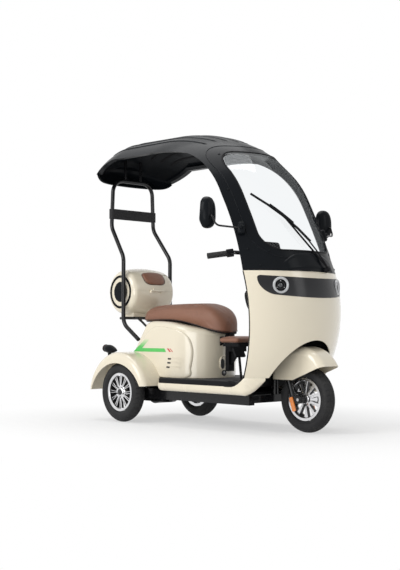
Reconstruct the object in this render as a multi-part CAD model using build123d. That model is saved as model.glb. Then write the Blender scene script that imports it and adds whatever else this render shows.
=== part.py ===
"""Canopied electric tricycle: one steered front wheel, two driven rear wheels, windscreen and roof.

Millimetres. X to the vehicle's left, Y to the rear, Z up. Origin on the floor, under the middle of the box.
"""
from build123d import *
from math import asin, cos, radians, sin, sqrt, tan
import os

# Driving dimensions
LENGTH = 1700.0
WHEELBASE = 1173.0
TRACK = 610.0
TYRE_R = 175.0
TYRE_W = 78.0
RIM_R = 112.0
RIM_W = 54.0
FRONT_AXLE_Y = -LENGTH / 2 + TYRE_R
REAR_AXLE_Y = FRONT_AXLE_Y + WHEELBASE
REAR_X = TRACK / 2

# Clearances
SEAT_GAP = 0.3
RUN_FIT = 0.05
PANEL = 5.0

# Steering axis
RAKE = 19.0
AXIS_FOOT_Y = -648.0
STEER_DIR = (0.0, sin(radians(RAKE)), cos(radians(RAKE)))

# Windscreen and roof: an arched strip that follows one crown line
ARCH_R = 468.0
CROWN_START = (-737.0, 844.0)
CROWN_TILT = 68.4
# Crown runs: length along the crown, turn towards the rear in degrees
CROWN_RUNS = [(505.6, 6.5), (442.8, 39.3), (431.6, 21.1), (330.0, 0.0), (330.0, 46.0)]
FRAME_DEPTH = 40.0
ROOF_SKIN = 7.0
ROOF_LIP_W = 16.0
ROOF_LIP_DEPTH = 26.0
ROOF_REAR_Y = LENGTH / 2 - 4.0
ROOF_HALF_W = 360.0
GLASS_HALF_W = 258.0
GLASS_LOW_Z = 958.0
GLASS_TOP_Z = 1512.0
GLASS_CORNER_R = 92.0
GLASS_REAR_Y = -200.0
GLASS_T = 4.0
GLASS_INSET = 3.0

# Leg shield: barrel about a vertical axis, just inside the screen's arch
SHIELD_AXIS_Y = CROWN_START[0] + ARCH_R
SHIELD_TOP_Z = CROWN_START[1]
SHIELD_BELLY_Z = 650.0
SHIELD_LOW_Z = 290.0
SHIELD_TOP_R = ARCH_R - 6.0
SHIELD_BELLY_R = SHIELD_TOP_R + 27.0
SHIELD_LOW_R = SHIELD_TOP_R - 60.0
ARCH_HALF_W = 224.0
ARCH_TOP_Z = 484.0
ARCH_BASE_Z = 250.0

# Floor
SILL_LOW_Z = 196.0
SILL_TOP_Z = 232.0
FLOOR_TOP_Z = 266.0
SILL_HALF_W = 308.0
FLOOR_HALF_W = 300.0
FLOOR_FRONT_Y = -416.0
FLOOR_REAR_Y = 205.0

# Frame
RAIL_X = 200.0
RAIL_W = 40.0
RAIL_H = 56.0
RAIL_FRONT_Y = -460.0
RAIL_REAR_Y = 410.0
HEAD_LOW_Z = 545.0
HEAD_TOP_Z = 705.0
HEAD_R = 26.0
STEERER_R = 15.0

# Seat box, saddle and child seat
BOX_R = 150.0
BOX_NOSE_Y = -78.0
BOX_REAR_Y = 545.0
BOX_WALL = 5.0
COVER_X = 222.0
SADDLE_TOP_Z = 685.0
SADDLE_REAR_Y = 562.0
SADDLE_NOSE_Y = -103.0
SADDLE_HALF_W = 142.0
SADDLE_NOSE_HALF_W = 104.0
SADDLE_WAIST_Y = 170.0
SADDLE_PAN_T = 10.0
SADDLE_HINGE = (-92.0, 510.0)
CHILD_HALF_W = 100.0
CHILD_REAR_Y = -108.0
CHILD_FRONT_Y = -262.0
CHILD_TOP_Z = 502.0
CHILD_T = 37.0
CHILD_CORNER_R = 34.0

# Rear body
FENDER_IN_X = COVER_X + SEAT_GAP
FENDER_OUT_X = 362.0
FENDER_TOP_Z = 410.0
FENDER_FRONT = (245.0, 219.0)
FENDER_REAR = (771.0, 180.0)

# Tail box
TAIL_Y = LENGTH / 2 - 148.0
TAIL_Z = 774.0
TAIL_R = 148.0
TAIL_HALF_W = 165.0
TAIL_WALL = 5.0
TAIL_PART_Z = 780.0

# Rear hoop
HOOP_R = 12.5
HOOP_X = 188.0
HOOP_LOW_Y = 646.0
HOOP_TOP_Y = 790.0

NODES = {}


def add(name, *shapes):
    """Keep the solids of one node."""
    solids = [solid for shape in shapes for solid in shape.solids()]
    NODES[name] = solids[0] if len(solids) == 1 else Compound(solids)


def other(shape):
    """The same shape on the other side of the middle plane."""
    return mirror(shape, about=Plane.YZ)


def rounded(points, radii):
    """A closed outline with rounded corners."""
    return make_face(FilletPolyline(*points, radius=radii, close=True))


def centred(half, low, high, radii):
    """A rectangle across the middle plane, from low to high, with rounded corners."""
    return rounded([(-half, low), (half, low), (half, high), (-half, high)], radii)


def side_slab(face, x0, x1):
    """A side-view outline, drawn in (y, z), made solid from x0 to x1."""
    return Pos(x0, 0, 0) * extrude(Plane.YZ * face, x1 - x0)


def front_slab(face, y0, y1):
    """A front-view outline, drawn in (x, z), made solid from y0 to y1."""
    return Pos(0, y1, 0) * extrude(Plane.XZ * face, y1 - y0)


def plan_slab(face, z0, z1):
    """A plan outline, drawn in (x, y), made solid from z0 to z1."""
    return Pos(0, 0, z0) * extrude(face, z1 - z0)


def block(x0, x1, y0, y1, z0, z1):
    """A plain box between two corners."""
    return Pos(x0, y0, z0) * Box(x1 - x0, y1 - y0, z1 - z0, align=Align.MIN)


def rod(start, end, radius):
    """A round bar from one point to another."""
    line = Vector(*end) - Vector(*start)
    plane = Plane(origin=start, z_dir=line)
    return extrude(plane * Circle(radius), line.length)


def x_rod(x0, x1, y, z, radius):
    """A round bar along X."""
    return rod((x0, y, z), (x1, y, z), radius)


def tube(points, radii, radius):
    """A round bar bent along points."""
    path = FilletPolyline(*points, radius=radii)
    plane = Plane(origin=path @ 0, z_dir=path % 0)
    return sweep(plane * Circle(radius), path=path)


def steer_point(z, x=0.0, ahead=0.0):
    """A point at height z beside the steering axis, ahead of it by a distance."""
    return (x, AXIS_FOOT_Y + (z - TYRE_R) * tan(radians(RAKE)) - ahead, z)


def crown_frames():
    """Start point, tilt, length and turn of each run of the crown line."""
    y, z = CROWN_START
    tilt = CROWN_TILT
    frames = []
    for length, turn in CROWN_RUNS:
        frames.append((y, z, tilt, length, turn))
        middle = radians(tilt - turn / 2)
        chord = length if turn == 0 else 2 * length / radians(turn) * sin(radians(turn / 2))
        y += chord * cos(middle)
        z += chord * sin(middle)
        tilt -= turn
    return frames


def arch_strip(runs, outer, inner, half_angle):
    """The arched strip over some runs of the crown line, from depth outer to depth inner below it."""
    pieces = []
    a = radians(half_angle)
    for y, z, tilt, length, turn in crown_frames()[runs]:
        arcs = []
        for depth in (outer, inner):
            r = ARCH_R - depth
            arcs.append(
                ThreePointArc((-r * sin(a), r * cos(a) - ARCH_R), (0, -depth), (r * sin(a), r * cos(a) - ARCH_R))
            )
        ends = [Line(arcs[0] @ k, arcs[1] @ k) for k in (0, 1)]
        face = make_face([*arcs, *ends])
        t = radians(tilt)
        plane = Plane(origin=(0, y, z), x_dir=(1, 0, 0), z_dir=(0, -cos(t), -sin(t)))
        if turn == 0:
            pieces.append(extrude(plane * face, -length))
            continue
        bend = length / radians(turn)
        centre = (0, y + bend * sin(t), z - bend * cos(t))
        pieces.append(revolve(plane * face, axis=Axis(centre, (-1, 0, 0)), revolution_arc=turn))
    return pieces[0].fuse(*pieces[1:]) if len(pieces) > 1 else pieces[0]


def shield_ring(outer, inner, z0, z1):
    """The barrel of the leg shield between two depths and two heights."""
    circle = ThreePointArc(
        (SHIELD_TOP_R, SHIELD_TOP_Z), (SHIELD_BELLY_R, SHIELD_BELLY_Z), (SHIELD_LOW_R, SHIELD_LOW_Z)
    )
    centre = circle.arc_center
    radius = circle.radius
    ball = []
    for depth in (outer, inner):
        r = radius - depth
        points = [(centre.X + sqrt(r**2 - (z - centre.Y) ** 2), z) for z in (z0, (z0 + z1) / 2, z1)]
        ball.append(ThreePointArc(*points))
    face = make_face([*ball, Line(ball[0] @ 0, ball[1] @ 0), Line(ball[0] @ 1, ball[1] @ 1)])
    return Pos(0, SHIELD_AXIS_Y, 0) * revolve(Plane.XZ * face, axis=Axis.Z)


def shield_radius(z):
    """Radius of the barrel at a height."""
    circle = ThreePointArc(
        (SHIELD_TOP_R, SHIELD_TOP_Z), (SHIELD_BELLY_R, SHIELD_BELLY_Z), (SHIELD_LOW_R, SHIELD_LOW_Z)
    )
    return circle.arc_center.X + sqrt(circle.radius**2 - (z - circle.arc_center.Y) ** 2)


# Wheels

HUB_R = 34.0
AXLE_R = 8.0
FRONT_HUB_HALF = 36.0
RIM_LIP = 3.0
RIM_WELL = 8.0
TYRE_BEAD = 11.0
TYRE_TREAD = 14.0


def tyre():
    """A road tyre about the X axis, round-shouldered, on its bead seats."""
    half = TYRE_W / 2
    bead = RIM_W / 2 - RIM_LIP - SEAT_GAP
    shoulder = half * 0.72
    crown = ThreePointArc((-shoulder, TYRE_R - 12), (0, TYRE_R), (shoulder, TYRE_R - 12))
    edges = [crown]
    for sign, end in ((1, 1), (-1, 0)):
        wall = ThreePointArc(crown @ end, (sign * half, TYRE_R - 34), (sign * bead, RIM_R + 2))
        heel = Line(wall @ 1, (sign * bead, RIM_R - RIM_WELL))
        toe = Line(heel @ 1, (sign * (bead - TYRE_BEAD), RIM_R - RIM_WELL))
        edges += [wall, heel, toe]
    edges.append(ThreePointArc(edges[3] @ 1, (0, TYRE_R - TYRE_TREAD), edges[6] @ 1))
    return revolve(make_face(edges), axis=Axis.X)


def rim(hub_half, spokes, spoke_w, face_x, bore):
    """A cast wheel about the X axis: well, lips, hub and spokes in the face plane."""
    half = RIM_W / 2
    lip = half - RIM_LIP
    seat = RIM_R - RIM_WELL - SEAT_GAP
    section = Polyline(
        (-half, RIM_R), (-lip, RIM_R), (-lip, seat), (lip, seat), (lip, RIM_R), (half, RIM_R),
        (half, RIM_R - 14), (half - 8, RIM_R - 16), (8 - half, RIM_R - 16), (-half, RIM_R - 14), close=True,
    )
    ring = revolve(make_face(section), axis=Axis.X)
    hub = x_rod(-hub_half, hub_half, 0, 0, HUB_R)
    spoke_len = RIM_R - 16 - HUB_R + 6
    spoke = Pos(face_x, 0, HUB_R - 3) * Box(14, spoke_w, spoke_len, align=(Align.CENTER, Align.CENTER, Align.MIN))
    arms = [Rot(360 * k / spokes, 0, 0) * spoke for k in range(spokes)]
    body = ring.fuse(hub, *arms)
    return body - x_rod(-hub_half - 1, hub_half + 1, 0, 0, bore)


def wheels():
    front = Pos(0, FRONT_AXLE_Y, TYRE_R)
    add("front_tyre", front * tyre())
    add("front_rim", front * rim(FRONT_HUB_HALF, 10, 16, 0, AXLE_R + RUN_FIT))
    for side, sign in (("right", -1), ("left", 1)):
        place = Pos(sign * REAR_X, REAR_AXLE_Y, TYRE_R)
        wheel = rim(REAR_HUB_HALF, 12, 9, sign * 16, STUB_R + RUN_FIT)
        add(f"rear_tyre_{side}", place * tyre())
        add(f"rear_rim_{side}", place * wheel)


# Rear axle and suspension

STUB_R = 12.0
AXLE_TUBE_R = 24.0
DRUM_R = 70.0
DRUM_IN_X = 247.0
REAR_HUB_HALF = 26.0
STUB_REACH = 24.0
MOTOR_R = 78.0
MOTOR_X0 = -60.0
MOTOR_X1 = 80.0
ARM_X = 165.0


def rear_axle():
    """Axle tube with motor and gear housing, drums and wheel stubs."""
    bars = [
        (-DRUM_IN_X, DRUM_IN_X, AXLE_TUBE_R),
        (MOTOR_X0, MOTOR_X1, MOTOR_R),
        (-REAR_X - STUB_REACH, REAR_X + STUB_REACH, STUB_R),
    ]
    bars += [tuple(sorted((s * DRUM_IN_X, s * (REAR_X - REAR_HUB_HALF - SEAT_GAP)))) + (DRUM_R,) for s in (-1, 1)]
    solids = [x_rod(x0, x1, REAR_AXLE_Y, TYRE_R, radius) for x0, x1, radius in bars]
    add("rear_axle", solids[0].fuse(*solids[1:]))


ARM_H = 30.0
ARM_W = 24.0
ARM_PIVOT_Y = 230.0
ARM_PIVOT_R = 9.0


def trailing_arms():
    """Two arms from the rails' inner faces to saddles under the axle tube."""
    top = TYRE_R - AXLE_TUBE_R - SEAT_GAP
    arm = side_slab(
        rounded([(ARM_PIVOT_Y, top - ARM_H), (REAR_AXLE_Y + 40, top - ARM_H), (REAR_AXLE_Y + 40, top),
                 (ARM_PIVOT_Y, top)], 6),
        ARM_X - ARM_W / 2, ARM_X + ARM_W / 2,
    )
    rail_low = SILL_LOW_Z - RAIL_H
    pivot = x_rod(ARM_X + ARM_W / 2, RAIL_X - RAIL_W / 2, ARM_PIVOT_Y + 20, rail_low + 12, ARM_PIVOT_R)
    drop = block(ARM_X - ARM_W / 2, ARM_X + ARM_W / 2, ARM_PIVOT_Y + 2, ARM_PIVOT_Y + 38, top - 10, rail_low + 26)
    whole = arm.fuse(drop, pivot)
    add("trailing_arms", whole, other(whole))


DAMPER_X = 125.0
DAMPER_R = 20.0
EYE_R = 10.0
SEAT_BAR_Y = RAIL_REAR_Y - 20.0
SEAT_BAR_Z = 400.0
SEAT_BAR_R = 14.0
SEAT_BAR_HALF = 144.0


def rear_dampers():
    """Coil-over dampers from the axle tube to the bar of the seat frame."""
    foot = Vector(DAMPER_X, REAR_AXLE_Y, TYRE_R + AXLE_TUBE_R + EYE_R + SEAT_GAP)
    top = Vector(DAMPER_X, SEAT_BAR_Y + SEAT_BAR_R + EYE_R + SEAT_GAP, SEAT_BAR_Z)
    unit = (top - foot).normalized()
    body = rod(tuple(foot), tuple(top), 7).fuse(
        rod(tuple(foot + unit * 24), tuple(top - unit * 24), DAMPER_R),
        x_rod(DAMPER_X - 13, DAMPER_X + 13, foot.Y, foot.Z, EYE_R),
        x_rod(DAMPER_X - 13, DAMPER_X + 13, top.Y, top.Z, EYE_R),
    )
    add("rear_dampers", body, other(body))


# Frame

DOWN_TUBE_R = 19.0
DOWN_TUBE = [(-466.0, 685.0), (-428.0, 600.0), (RAIL_FRONT_Y + 20.0, 300.0)]
POST_X = 110.0
TIE_W = 40.0
TIE_DROP = 5.0
BATTERY = (210.0, 300.0, 196.0)
BATTERY_FRONT_Y = 25.0


def frame():
    rails = [
        block(s * RAIL_X - RAIL_W / 2, s * RAIL_X + RAIL_W / 2, RAIL_FRONT_Y, RAIL_REAR_Y,
              SILL_LOW_Z - RAIL_H, SILL_LOW_Z)
        for s in (-1, 1)
    ]
    span = RAIL_X - RAIL_W / 2
    tie_top = SILL_LOW_Z - TIE_DROP
    tie_ys = (RAIL_FRONT_Y + TIE_W / 2, -140.0, 130.0, RAIL_REAR_Y - TIE_W / 2)
    ties = [block(-span, span, y - TIE_W / 2, y + TIE_W / 2, tie_top - 40, tie_top) for y in tie_ys]
    add("frame_rails", rails[0].fuse(rails[1], *ties))

    foot_y = tie_ys[0]
    knees = [(0, y, z) for y, z in DOWN_TUBE]
    down = tube([*knees, (0, foot_y, tie_top + SEAT_GAP)], [50, 200], DOWN_TUBE_R)
    head = rod(steer_point(HEAD_LOW_Z), steer_point(HEAD_TOP_Z), HEAD_R)
    bore = rod(steer_point(HEAD_LOW_Z - 20), steer_point(HEAD_TOP_Z + 20), STEERER_R + RUN_FIT)
    add("front_frame", head.fuse(down) - bore)

    posts = [rod((s * POST_X, SEAT_BAR_Y, tie_top + SEAT_GAP), (s * POST_X, SEAT_BAR_Y, SEAT_BAR_Z), SEAT_BAR_R)
             for s in (-1, 1)]
    top_bar = x_rod(-SEAT_BAR_HALF, SEAT_BAR_HALF, SEAT_BAR_Y, SEAT_BAR_Z, SEAT_BAR_R)
    add("seat_frame", top_bar.fuse(*posts))

    width, length, height = BATTERY
    add("battery_pack", block(-width / 2, width / 2, BATTERY_FRONT_Y, BATTERY_FRONT_Y + length,
                              FLOOR_TOP_Z + SEAT_GAP, FLOOR_TOP_Z + SEAT_GAP + height))


# Floor

FLOOR_CORNER_R = 40.0
MAT_HALF_W = FLOOR_HALF_W - 40.0
MAT_FRONT_Y = FLOOR_FRONT_Y + 71.0
MAT_REAR_Y = BOX_NOSE_Y - 17.0
MAT_CORNER_R = 25.0
MAT_GROOVE_W = 6.0
MAT_GROOVE_DEPTH = 2.0
HORN_LAP = 60.0
HORN_TAPER = 18.0
TOE_TOP = (-404.0, 560.0)
TOE_HALF_W = 215.0


def horn_outline():
    """Plan of the shield's lower corner on the vehicle's left."""
    inner = ARCH_HALF_W
    back = FLOOR_FRONT_Y + HORN_LAP
    tip = sqrt(SHIELD_LOW_R**2 - (SHIELD_EDGE[2][0] - SHIELD_AXIS_Y) ** 2)
    rim_xs = (inner, (inner + tip) / 2, tip)
    start, middle, end = [(x, SHIELD_AXIS_Y - sqrt(SHIELD_LOW_R**2 - x**2)) for x in rim_xs]
    return make_face([
        ThreePointArc(start, middle, end),
        Line(end, (SILL_HALF_W, back)),
        Line((SILL_HALF_W, back), (inner, back)),
        Line((inner, back), start),
    ])


def floor():
    pan_face = centred(SILL_HALF_W, FLOOR_FRONT_Y, FLOOR_REAR_Y, [1, 1, FLOOR_CORNER_R, FLOOR_CORNER_R])
    pan = plan_slab(pan_face, SILL_LOW_Z, SILL_TOP_Z)
    horn = Pos(0, 0, SHIELD_LOW_Z - SEAT_GAP) * extrude(
        horn_outline(), -(SHIELD_LOW_Z - SILL_LOW_Z - SEAT_GAP), taper=HORN_TAPER
    )
    add("sill_pan", pan.fuse(horn, other(horn)))

    board_face = centred(FLOOR_HALF_W, FLOOR_FRONT_Y, FLOOR_REAR_Y, [1, 1, FLOOR_CORNER_R - 2, FLOOR_CORNER_R - 2])
    board = plan_slab(board_face, SILL_TOP_Z, FLOOR_TOP_Z)
    mat = centred(MAT_HALF_W, MAT_FRONT_Y, MAT_REAR_Y, MAT_CORNER_R)
    groove = plan_slab(offset(mat, MAT_GROOVE_W) - mat, FLOOR_TOP_Z - MAT_GROOVE_DEPTH, FLOOR_TOP_Z)
    toe = side_slab(
        make_face(Polyline((FLOOR_FRONT_Y, FLOOR_TOP_Z - 1), (FLOOR_FRONT_Y + PANEL, FLOOR_TOP_Z - 1),
                           (TOE_TOP[0] + PANEL, TOE_TOP[1]), TOE_TOP, close=True)),
        -TOE_HALF_W, TOE_HALF_W,
    )
    add("floor_board", board.fuse(toe) - horn - other(horn) - groove)


# Leg shield and front lamps

SHIELD_EDGE = [(-556.0, SHIELD_TOP_Z), (-599.0, 600.0), (-515.0, SHIELD_LOW_Z)]
BAND_PROUD = 2.0
BAND_TOP = (300.0, 820.0)
BAND_TOP_MIDDLE_Z = 809.0
BAND_LOW = (255.0, 720.0)
BAND_LOW_MIDDLE_Z = 706.0
BAND_SHOULDER = (315.0, 815.0)
BAND_TIP = (319.0, 803.0)
BAND_CHIN = (296.0, 742.0)
LAMP_X = 223.0
LAMP_Z = 768.0
LAMP_R = 44.0
LAMP_PROUD = 9.0
LAMP_CUP = 30.0
LENS_R = 26.0
LENS_H = 10.0
LINER_T = 5.0
LINER_LOW_Z = 500.0
GLOVE_X0 = 72.0
GLOVE_X1 = 300.0
GLOVE_FRONT_Y = -680.0
GLOVE_REAR_Y = -452.0
GLOVE_LOW_Z = 570.0
GLOVE_TOP_Z = 750.0


def shield_front(back=0.0):
    """Everything ahead of the shield's side edges, seen from the side."""
    edge = ThreePointArc(*[(y + back, z) for y, z in SHIELD_EDGE])
    far = -LENGTH
    return side_slab(
        make_face([edge, Line(edge @ 1, (far, SHIELD_LOW_Z)), Line((far, SHIELD_LOW_Z), (far, SHIELD_TOP_Z)),
                   Line((far, SHIELD_TOP_Z), edge @ 0)]),
        -LENGTH, LENGTH,
    )


def arch_cut():
    """The wheel arch, an ellipse seen from the front."""
    face = Pos(0, ARCH_BASE_Z) * Ellipse(ARCH_HALF_W, ARCH_TOP_Z - ARCH_BASE_Z)
    return front_slab(face, -LENGTH, SHIELD_AXIS_Y)


def band_cut(grow):
    """Outline of the lamp band seen from the front, as a solid through the shield."""
    top_x, top_z = BAND_TOP[0], BAND_TOP[1] + grow
    low_x, low_z = BAND_LOW[0], BAND_LOW[1] - grow
    top = ThreePointArc((-top_x, top_z), (0, BAND_TOP_MIDDLE_Z + grow), (top_x, top_z))
    low = ThreePointArc((-low_x, low_z), (0, BAND_LOW_MIDDLE_Z - grow), (low_x, low_z))
    ends = []
    for sign, k in ((-1, 0), (1, 1)):
        tip = (sign * (BAND_TIP[0] + grow), BAND_TIP[1])
        shoulder = (sign * (BAND_SHOULDER[0] + grow), BAND_SHOULDER[1] + grow)
        chin = (sign * (BAND_CHIN[0] + grow), BAND_CHIN[1] - grow)
        ends += [ThreePointArc(top @ k, shoulder, tip), ThreePointArc(tip, chin, low @ k)]
    return front_slab(make_face([top, *ends, low]), -LENGTH, SHIELD_AXIS_Y)


def lamp_place(sign):
    """Where a headlamp sits on the barrel, its axis along the barrel's radius."""
    radius = shield_radius(LAMP_Z)
    turn = asin(sign * LAMP_X / radius)
    point = (radius * sin(turn), SHIELD_AXIS_Y - radius * cos(turn), LAMP_Z)
    return Plane(origin=point, x_dir=(cos(turn), sin(turn), 0), z_dir=(sin(turn), -cos(turn), 0))


def headlamp():
    """Cup, bezel ring and domed lens of one lamp, about its own axis."""
    cup = rod((0, 0, -LAMP_CUP), (0, 0, 1), LAMP_R - 3)
    ring = revolve(
        Plane.XZ * make_face(Polyline((LAMP_R - 12, 0), (LAMP_R, 0), (LAMP_R, LAMP_PROUD - 4),
                                      (LAMP_R - 4, LAMP_PROUD), (LAMP_R - 12, LAMP_PROUD - 4), close=True)),
        axis=Axis.Z,
    )
    dome = ThreePointArc((0, LENS_H), (LENS_R / 2, LENS_H * 0.85), (LENS_R, LENS_H * 0.4))
    corners = [dome @ 1, Vector(LENS_R, 0), Vector(0, 0), dome @ 0]
    sides = [Line(corners[k], corners[k + 1]) for k in range(3)]
    lens = revolve(Plane.XZ * make_face([dome, *sides]), axis=Axis.Z)
    return cup.fuse(ring, lens)


def leg_shield():
    front = shield_front()
    skin = shield_ring(0, PANEL, SHIELD_LOW_Z, SHIELD_TOP_Z) & front
    add("leg_shield", skin - arch_cut() - band_cut(0))

    lamps = [lamp_place(sign) * headlamp() for sign in (-1, 1)]
    sockets = [lamp_place(sign) * Cylinder(LAMP_R + SEAT_GAP, 120) for sign in (-1, 1)]
    band = shield_ring(-BAND_PROUD, PANEL, SHIELD_LOW_Z, SHIELD_TOP_Z) & band_cut(-SEAT_GAP)
    add("light_band", band - sockets[0] - sockets[1])
    add("headlamps", *lamps)

    depth = PANEL + SEAT_GAP
    liner = shield_ring(depth, depth + LINER_T, LINER_LOW_Z, SHIELD_TOP_Z) & shield_front(-4)
    core = shield_ring(depth, SHIELD_TOP_R - 130, LINER_LOW_Z, SHIELD_TOP_Z)
    boxes = []
    for sign in (-1, 1):
        x0, x1 = sorted((sign * GLOVE_X0, sign * GLOVE_X1))
        outline = rounded([(x0, GLOVE_FRONT_Y), (x1, GLOVE_FRONT_Y), (x1, GLOVE_REAR_Y), (x0, GLOVE_REAR_Y)], 18)
        boxes.append(plan_slab(outline, GLOVE_LOW_Z, GLOVE_TOP_Z) & core)
    add("inner_shield", liner.fuse(*boxes) - sockets[0] - sockets[1])


# Windscreen and roof

EDGE_LOW = [(-554.0, SHIELD_TOP_Z), (-456.0, 1106.0), (-357.0, 1294.0)]
EDGE_BEND = (-234.0, 1430.0)
EDGE_TOP = (-60.0, 1522.0)
LIP_FRONT = (100.0, 1548.0)
LIP_FLAT = (300.0, 1556.0)
LIP_END = (590.0, 1560.0)
LIP_DROP = (716.0, 1512.0)
LIP_REAR = (835.0, 1462.0)
SEAM_Y = -60.0
STRIP_HALF_ANGLE = 56.0
SKY_Z = 2000.0
ROOF_CORNER_R = 170.0


def edge_region(inset):
    """Everything above and ahead of the lower edge of screen and roof, seen from the side."""
    def up(point):
        return (point[0] - inset * 0.5, point[1] + inset)
    low = ThreePointArc(*[up(point) for point in EDGE_LOW])
    bend = ThreePointArc(low @ 1, up(EDGE_BEND), up(EDGE_TOP))
    front = ThreePointArc(bend @ 1, up(LIP_FRONT), up(LIP_FLAT))
    flat = Line(front @ 1, up(LIP_END))
    drop = ThreePointArc(flat @ 1, up(LIP_DROP), up(LIP_REAR))
    corners = [drop @ 1, Vector(LENGTH, (drop @ 1).Y), Vector(LENGTH, SKY_Z), Vector(-LENGTH, SKY_Z)]
    corners += [Vector(-LENGTH, (low @ 0).Y), low @ 0]
    closing = [Line(corners[k], corners[k + 1]) for k in range(len(corners) - 1)]
    return side_slab(make_face([low, bend, front, flat, drop, *closing]), -LENGTH, LENGTH)


def roof_plan(inset):
    """Plan outline of the roof, square at the seam and rounded at the rear."""
    half = ROOF_HALF_W - inset
    corner = ROOF_CORNER_R - inset
    return plan_slab(centred(half, SEAM_Y, ROOF_REAR_Y - inset, [0.5, 0.5, corner, corner]), SHIELD_TOP_Z, SKY_Z)


def screen_opening(shrink):
    """The windscreen opening, a rounded rectangle seen from the front."""
    face = centred(GLASS_HALF_W - shrink, GLASS_LOW_Z + shrink, GLASS_TOP_Z - shrink, GLASS_CORNER_R - shrink)
    return front_slab(face, -LENGTH, GLASS_REAR_Y)


def screen_and_roof():
    ahead = block(-LENGTH, LENGTH, -LENGTH, SEAM_Y, SHIELD_TOP_Z + SEAT_GAP, SKY_Z)
    region = edge_region(0)
    frame_strip = arch_strip(slice(0, 3), 0, FRAME_DEPTH, STRIP_HALF_ANGLE)
    add("windscreen_frame", (frame_strip & region & ahead) - screen_opening(0))

    pane = arch_strip(slice(0, 3), GLASS_INSET, GLASS_INSET + GLASS_T, STRIP_HALF_ANGLE)
    add("windscreen_glass", pane & screen_opening(SEAT_GAP))

    outline = roof_plan(0) & region
    skin = arch_strip(slice(2, 5), 0, ROOF_SKIN, STRIP_HALF_ANGLE) & outline
    inner = roof_plan(ROOF_LIP_W) & edge_region(ROOF_LIP_W)
    lip = (arch_strip(slice(2, 5), 0, ROOF_LIP_DEPTH, STRIP_HALF_ANGLE) & outline) - inner
    add("roof_canopy", skin.fuse(lip))


# Rear hoop, strap and tail rack

HOOP_BEND_Z = (985.0, 1180.0)
HOOP_TOP_Z = 1478.0
HOOP_TOP_X = 157.0
HOOP_LEAN_X = 12.0
STRAP_Z = 1264.0
STRAP_H = 60.0
STRAP_T = 4.0
RACK_Z = 613.0
RACK_R = 8.0
RACK_X = 100.0
RACK_REAR_Y = 785.0
STRUT_LEN = 152.0
STRUT_FOOT_Z = 522.0
HOOP_FOOT_Z = 482.0
POST_R = 9.0
POST_X_ROOF = 60.0
SLOPE_TOP = (428.0, 590.0)
SLOPE_LOW = (546.0, 412.0)


def slope_point(z, out):
    """A point over the body's rear slope: foot at height z, then out along the slope's normal."""
    run = (SLOPE_LOW[0] - SLOPE_TOP[0]) / (SLOPE_TOP[1] - SLOPE_LOW[1])
    size = sqrt(1 + run**2)
    y = SLOPE_TOP[0] + (SLOPE_TOP[1] - z) * run
    return (y + out / size, z + out * run / size)


def rear_hoop():
    foot = slope_point(HOOP_FOOT_Z, SEAT_GAP)
    run = (HOOP_LOW_Y - foot[0]) / (slope_point(HOOP_FOOT_Z, 1.0)[0] - slope_point(HOOP_FOOT_Z, 0.0)[0])
    knee = slope_point(HOOP_FOOT_Z, run)
    half = [
        (HOOP_X, *foot), (HOOP_X, *knee), (HOOP_X, HOOP_LOW_Y, HOOP_BEND_Z[0]),
        (HOOP_TOP_X + HOOP_LEAN_X, HOOP_TOP_Y, HOOP_BEND_Z[1]), (HOOP_TOP_X, HOOP_TOP_Y, HOOP_TOP_Z),
    ]
    whole = half + [(-x, y, z) for x, y, z in reversed(half)]
    hoop = tube(whole, [80, 90, 90, 80, 80, 90, 90, 80], HOOP_R)
    roof_under = arch_strip(slice(2, 5), -200, ROOF_SKIN + SEAT_GAP, STRIP_HALF_ANGLE)
    posts = []
    for x in (-POST_X_ROOF, POST_X_ROOF):
        post = rod((x, HOOP_TOP_Y, HOOP_TOP_Z), (x, HOOP_TOP_Y, SKY_Z), POST_R) - roof_under
        posts.append(post.solids().sort_by(Axis.Z)[0])
    add("roof_hoop", hoop.fuse(*posts))

    lean = HOOP_LEAN_X * (HOOP_TOP_Z - STRAP_Z + STRAP_H / 2) / (HOOP_TOP_Z - HOOP_BEND_Z[1])
    half_x = HOOP_TOP_X + lean + HOOP_R + SEAT_GAP + STRAP_T
    half_y = HOOP_R + SEAT_GAP + STRAP_T
    loop = centred(half_x, -half_y, half_y, half_y - 0.1)
    strap = extrude(loop, STRAP_H) - extrude(offset(loop, -STRAP_T), STRAP_H)
    add("hoop_strap", Pos(0, HOOP_TOP_Y, STRAP_Z - STRAP_H / 2) * strap)

    bar = HOOP_X - HOOP_R - SEAT_GAP
    rack = [x_rod(-bar, bar, HOOP_LOW_Y, RACK_Z, RACK_R), x_rod(-RACK_X, RACK_X, RACK_REAR_Y, RACK_Z, RACK_R)]
    for sign in (-1, 1):
        x = sign * RACK_X
        strut_foot = slope_point(STRUT_FOOT_Z, SEAT_GAP)
        strut_top = slope_point(STRUT_FOOT_Z, STRUT_LEN)
        lap = slope_point(STRUT_FOOT_Z, STRUT_LEN - 20)
        rack.append(rod((x, *strut_foot), (x, *strut_top), RACK_R - 1))
        knees = [(x, *lap), (x, strut_top[0] + 14, RACK_Z), (x, RACK_REAR_Y, RACK_Z)]
        rack.append(tube(knees, 12, RACK_R))
    add("tail_rack", rack[0].fuse(*rack[1:]))


# Seat box, side covers and saddle

SEAT_LINE = [(-130.0, 500.0), (120.0, 544.0), (330.0, 599.0)]
SEAT_FLAT_Y = 700.0
EAR_X0 = 12.0
EAR_X1 = 30.0
PIN_R = 4.0
COVER_IN_X = BOX_R + SEAT_GAP
COVER_ROUND = 20.0


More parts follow.
